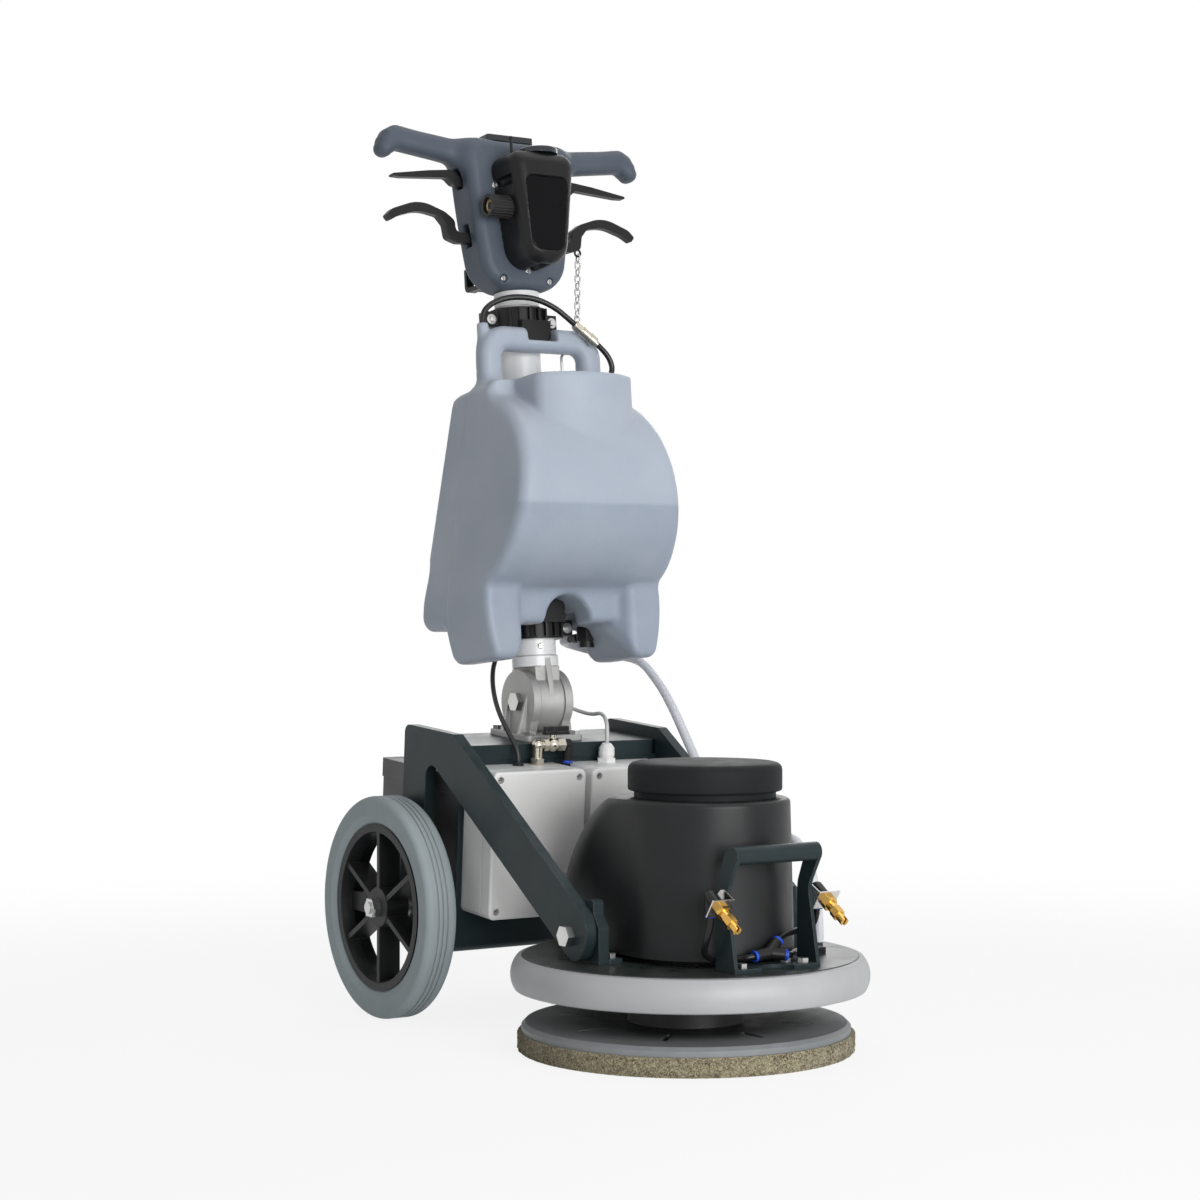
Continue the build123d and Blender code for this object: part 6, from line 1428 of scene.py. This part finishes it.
# Rays that see the white surround itself: from the camera, from a gloss or through something clear
def seenRays(tree):
    path = addNode(tree, "ShaderNodeLightPath").outputs
    seen = mathNode(tree, "MAXIMUM", path["Is Camera Ray"], path["Is Glossy Ray"])
    return mathNode(tree, "MAXIMUM", seen, path["Is Transmission Ray"])


def makeFloor():
    mesh = bmesh.new()
    rings = []
    for radius in studio["rings"]:
        angles = [2 * pi * count / studio["around"] for count in range(studio["around"])]
        rings.append([Vector((radius * cos(angle), radius * sin(angle), 0)) for angle in angles])
    loops = addRings(mesh, rings, ends="open")
    mesh.faces.new(loops[0])
    data = bpy.data.meshes.new("studioFloor")
    bmesh.ops.recalc_face_normals(mesh, faces=mesh.faces)
    mesh.to_mesh(data)
    mesh.free()
    floor = bpy.data.objects.new("studioFloor", data)
    floor.location.z = -studio["drop"]
    scene.collection.objects.link(floor)
    material = bpy.data.materials.new("studioFloor")
    material.use_nodes = True
    tree = material.node_tree
    tree.nodes.clear()
    output = addNode(tree, "ShaderNodeOutputMaterial")
    diffuse = addNode(tree, "ShaderNodeBsdfDiffuse")
    place = addNode(tree, "ShaderNodeTexCoord").outputs["Object"]
    speck = mapRange(tree, noiseNode(tree, place, studio["speckScale"], 2), 0.3, 0.7, *studio["tone"])
    wire(tree, mixColor(tree, speck, (0.0, 0.0, 0.0), (1.0, 1.0, 1.0)), diffuse.inputs["Color"])
    glow = addNode(tree, "ShaderNodeEmission")
    glow.inputs["Color"].default_value = (1, 1, 1, 1)
    length = addNode(tree, "ShaderNodeVectorMath", operation="LENGTH")
    wire(tree, place, length.inputs[0])
    far = mapRange(tree, length.outputs["Value"], studio["fadeFrom"], studio["fadeTo"], studio["glow"], 1.0)
    blend = addNode(tree, "ShaderNodeMixShader")
    wire(tree, mathNode(tree, "MULTIPLY", seenRays(tree), far), blend.inputs[0])
    wire(tree, diffuse.outputs[0], blend.inputs[1])
    wire(tree, glow.outputs[0], blend.inputs[2])
    wire(tree, blend.outputs[0], output.inputs["Surface"])
    floor.data.materials.append(material)


def makeWorld():
    world = bpy.data.worlds.new("studioSurround")
    scene.world = world
    world.use_nodes = True
    tree = world.node_tree
    background = tree.nodes["Background"]
    background.inputs["Color"].default_value = (1, 1, 1, 1)
    strength = addNode(tree, "ShaderNodeMix", data_type="FLOAT")
    wire(tree, seenRays(tree), strength.inputs[0])
    strength.inputs[2].default_value = studio["ambient"]
    strength.inputs[3].default_value = 1.0
    wire(tree, strength.outputs[0], background.inputs["Strength"])


def addLamp(name, place, aim, size, power):
    lamp = bpy.data.lights.new(name, "AREA")
    lamp.shape = "RECTANGLE"
    lamp.size, lamp.size_y = size
    lamp.energy = power
    holder = bpy.data.objects.new(name, lamp)
    holder.location = place
    holder.rotation_euler = (Vector(aim) - Vector(place)).to_track_quat("-Z", "Y").to_euler()
    scene.collection.objects.link(holder)


makeFloor()
makeWorld()
for name, (place, aim, size, power) in studio["lamps"].items():
    addLamp(name, place, aim, size, power)
print("studio lit")
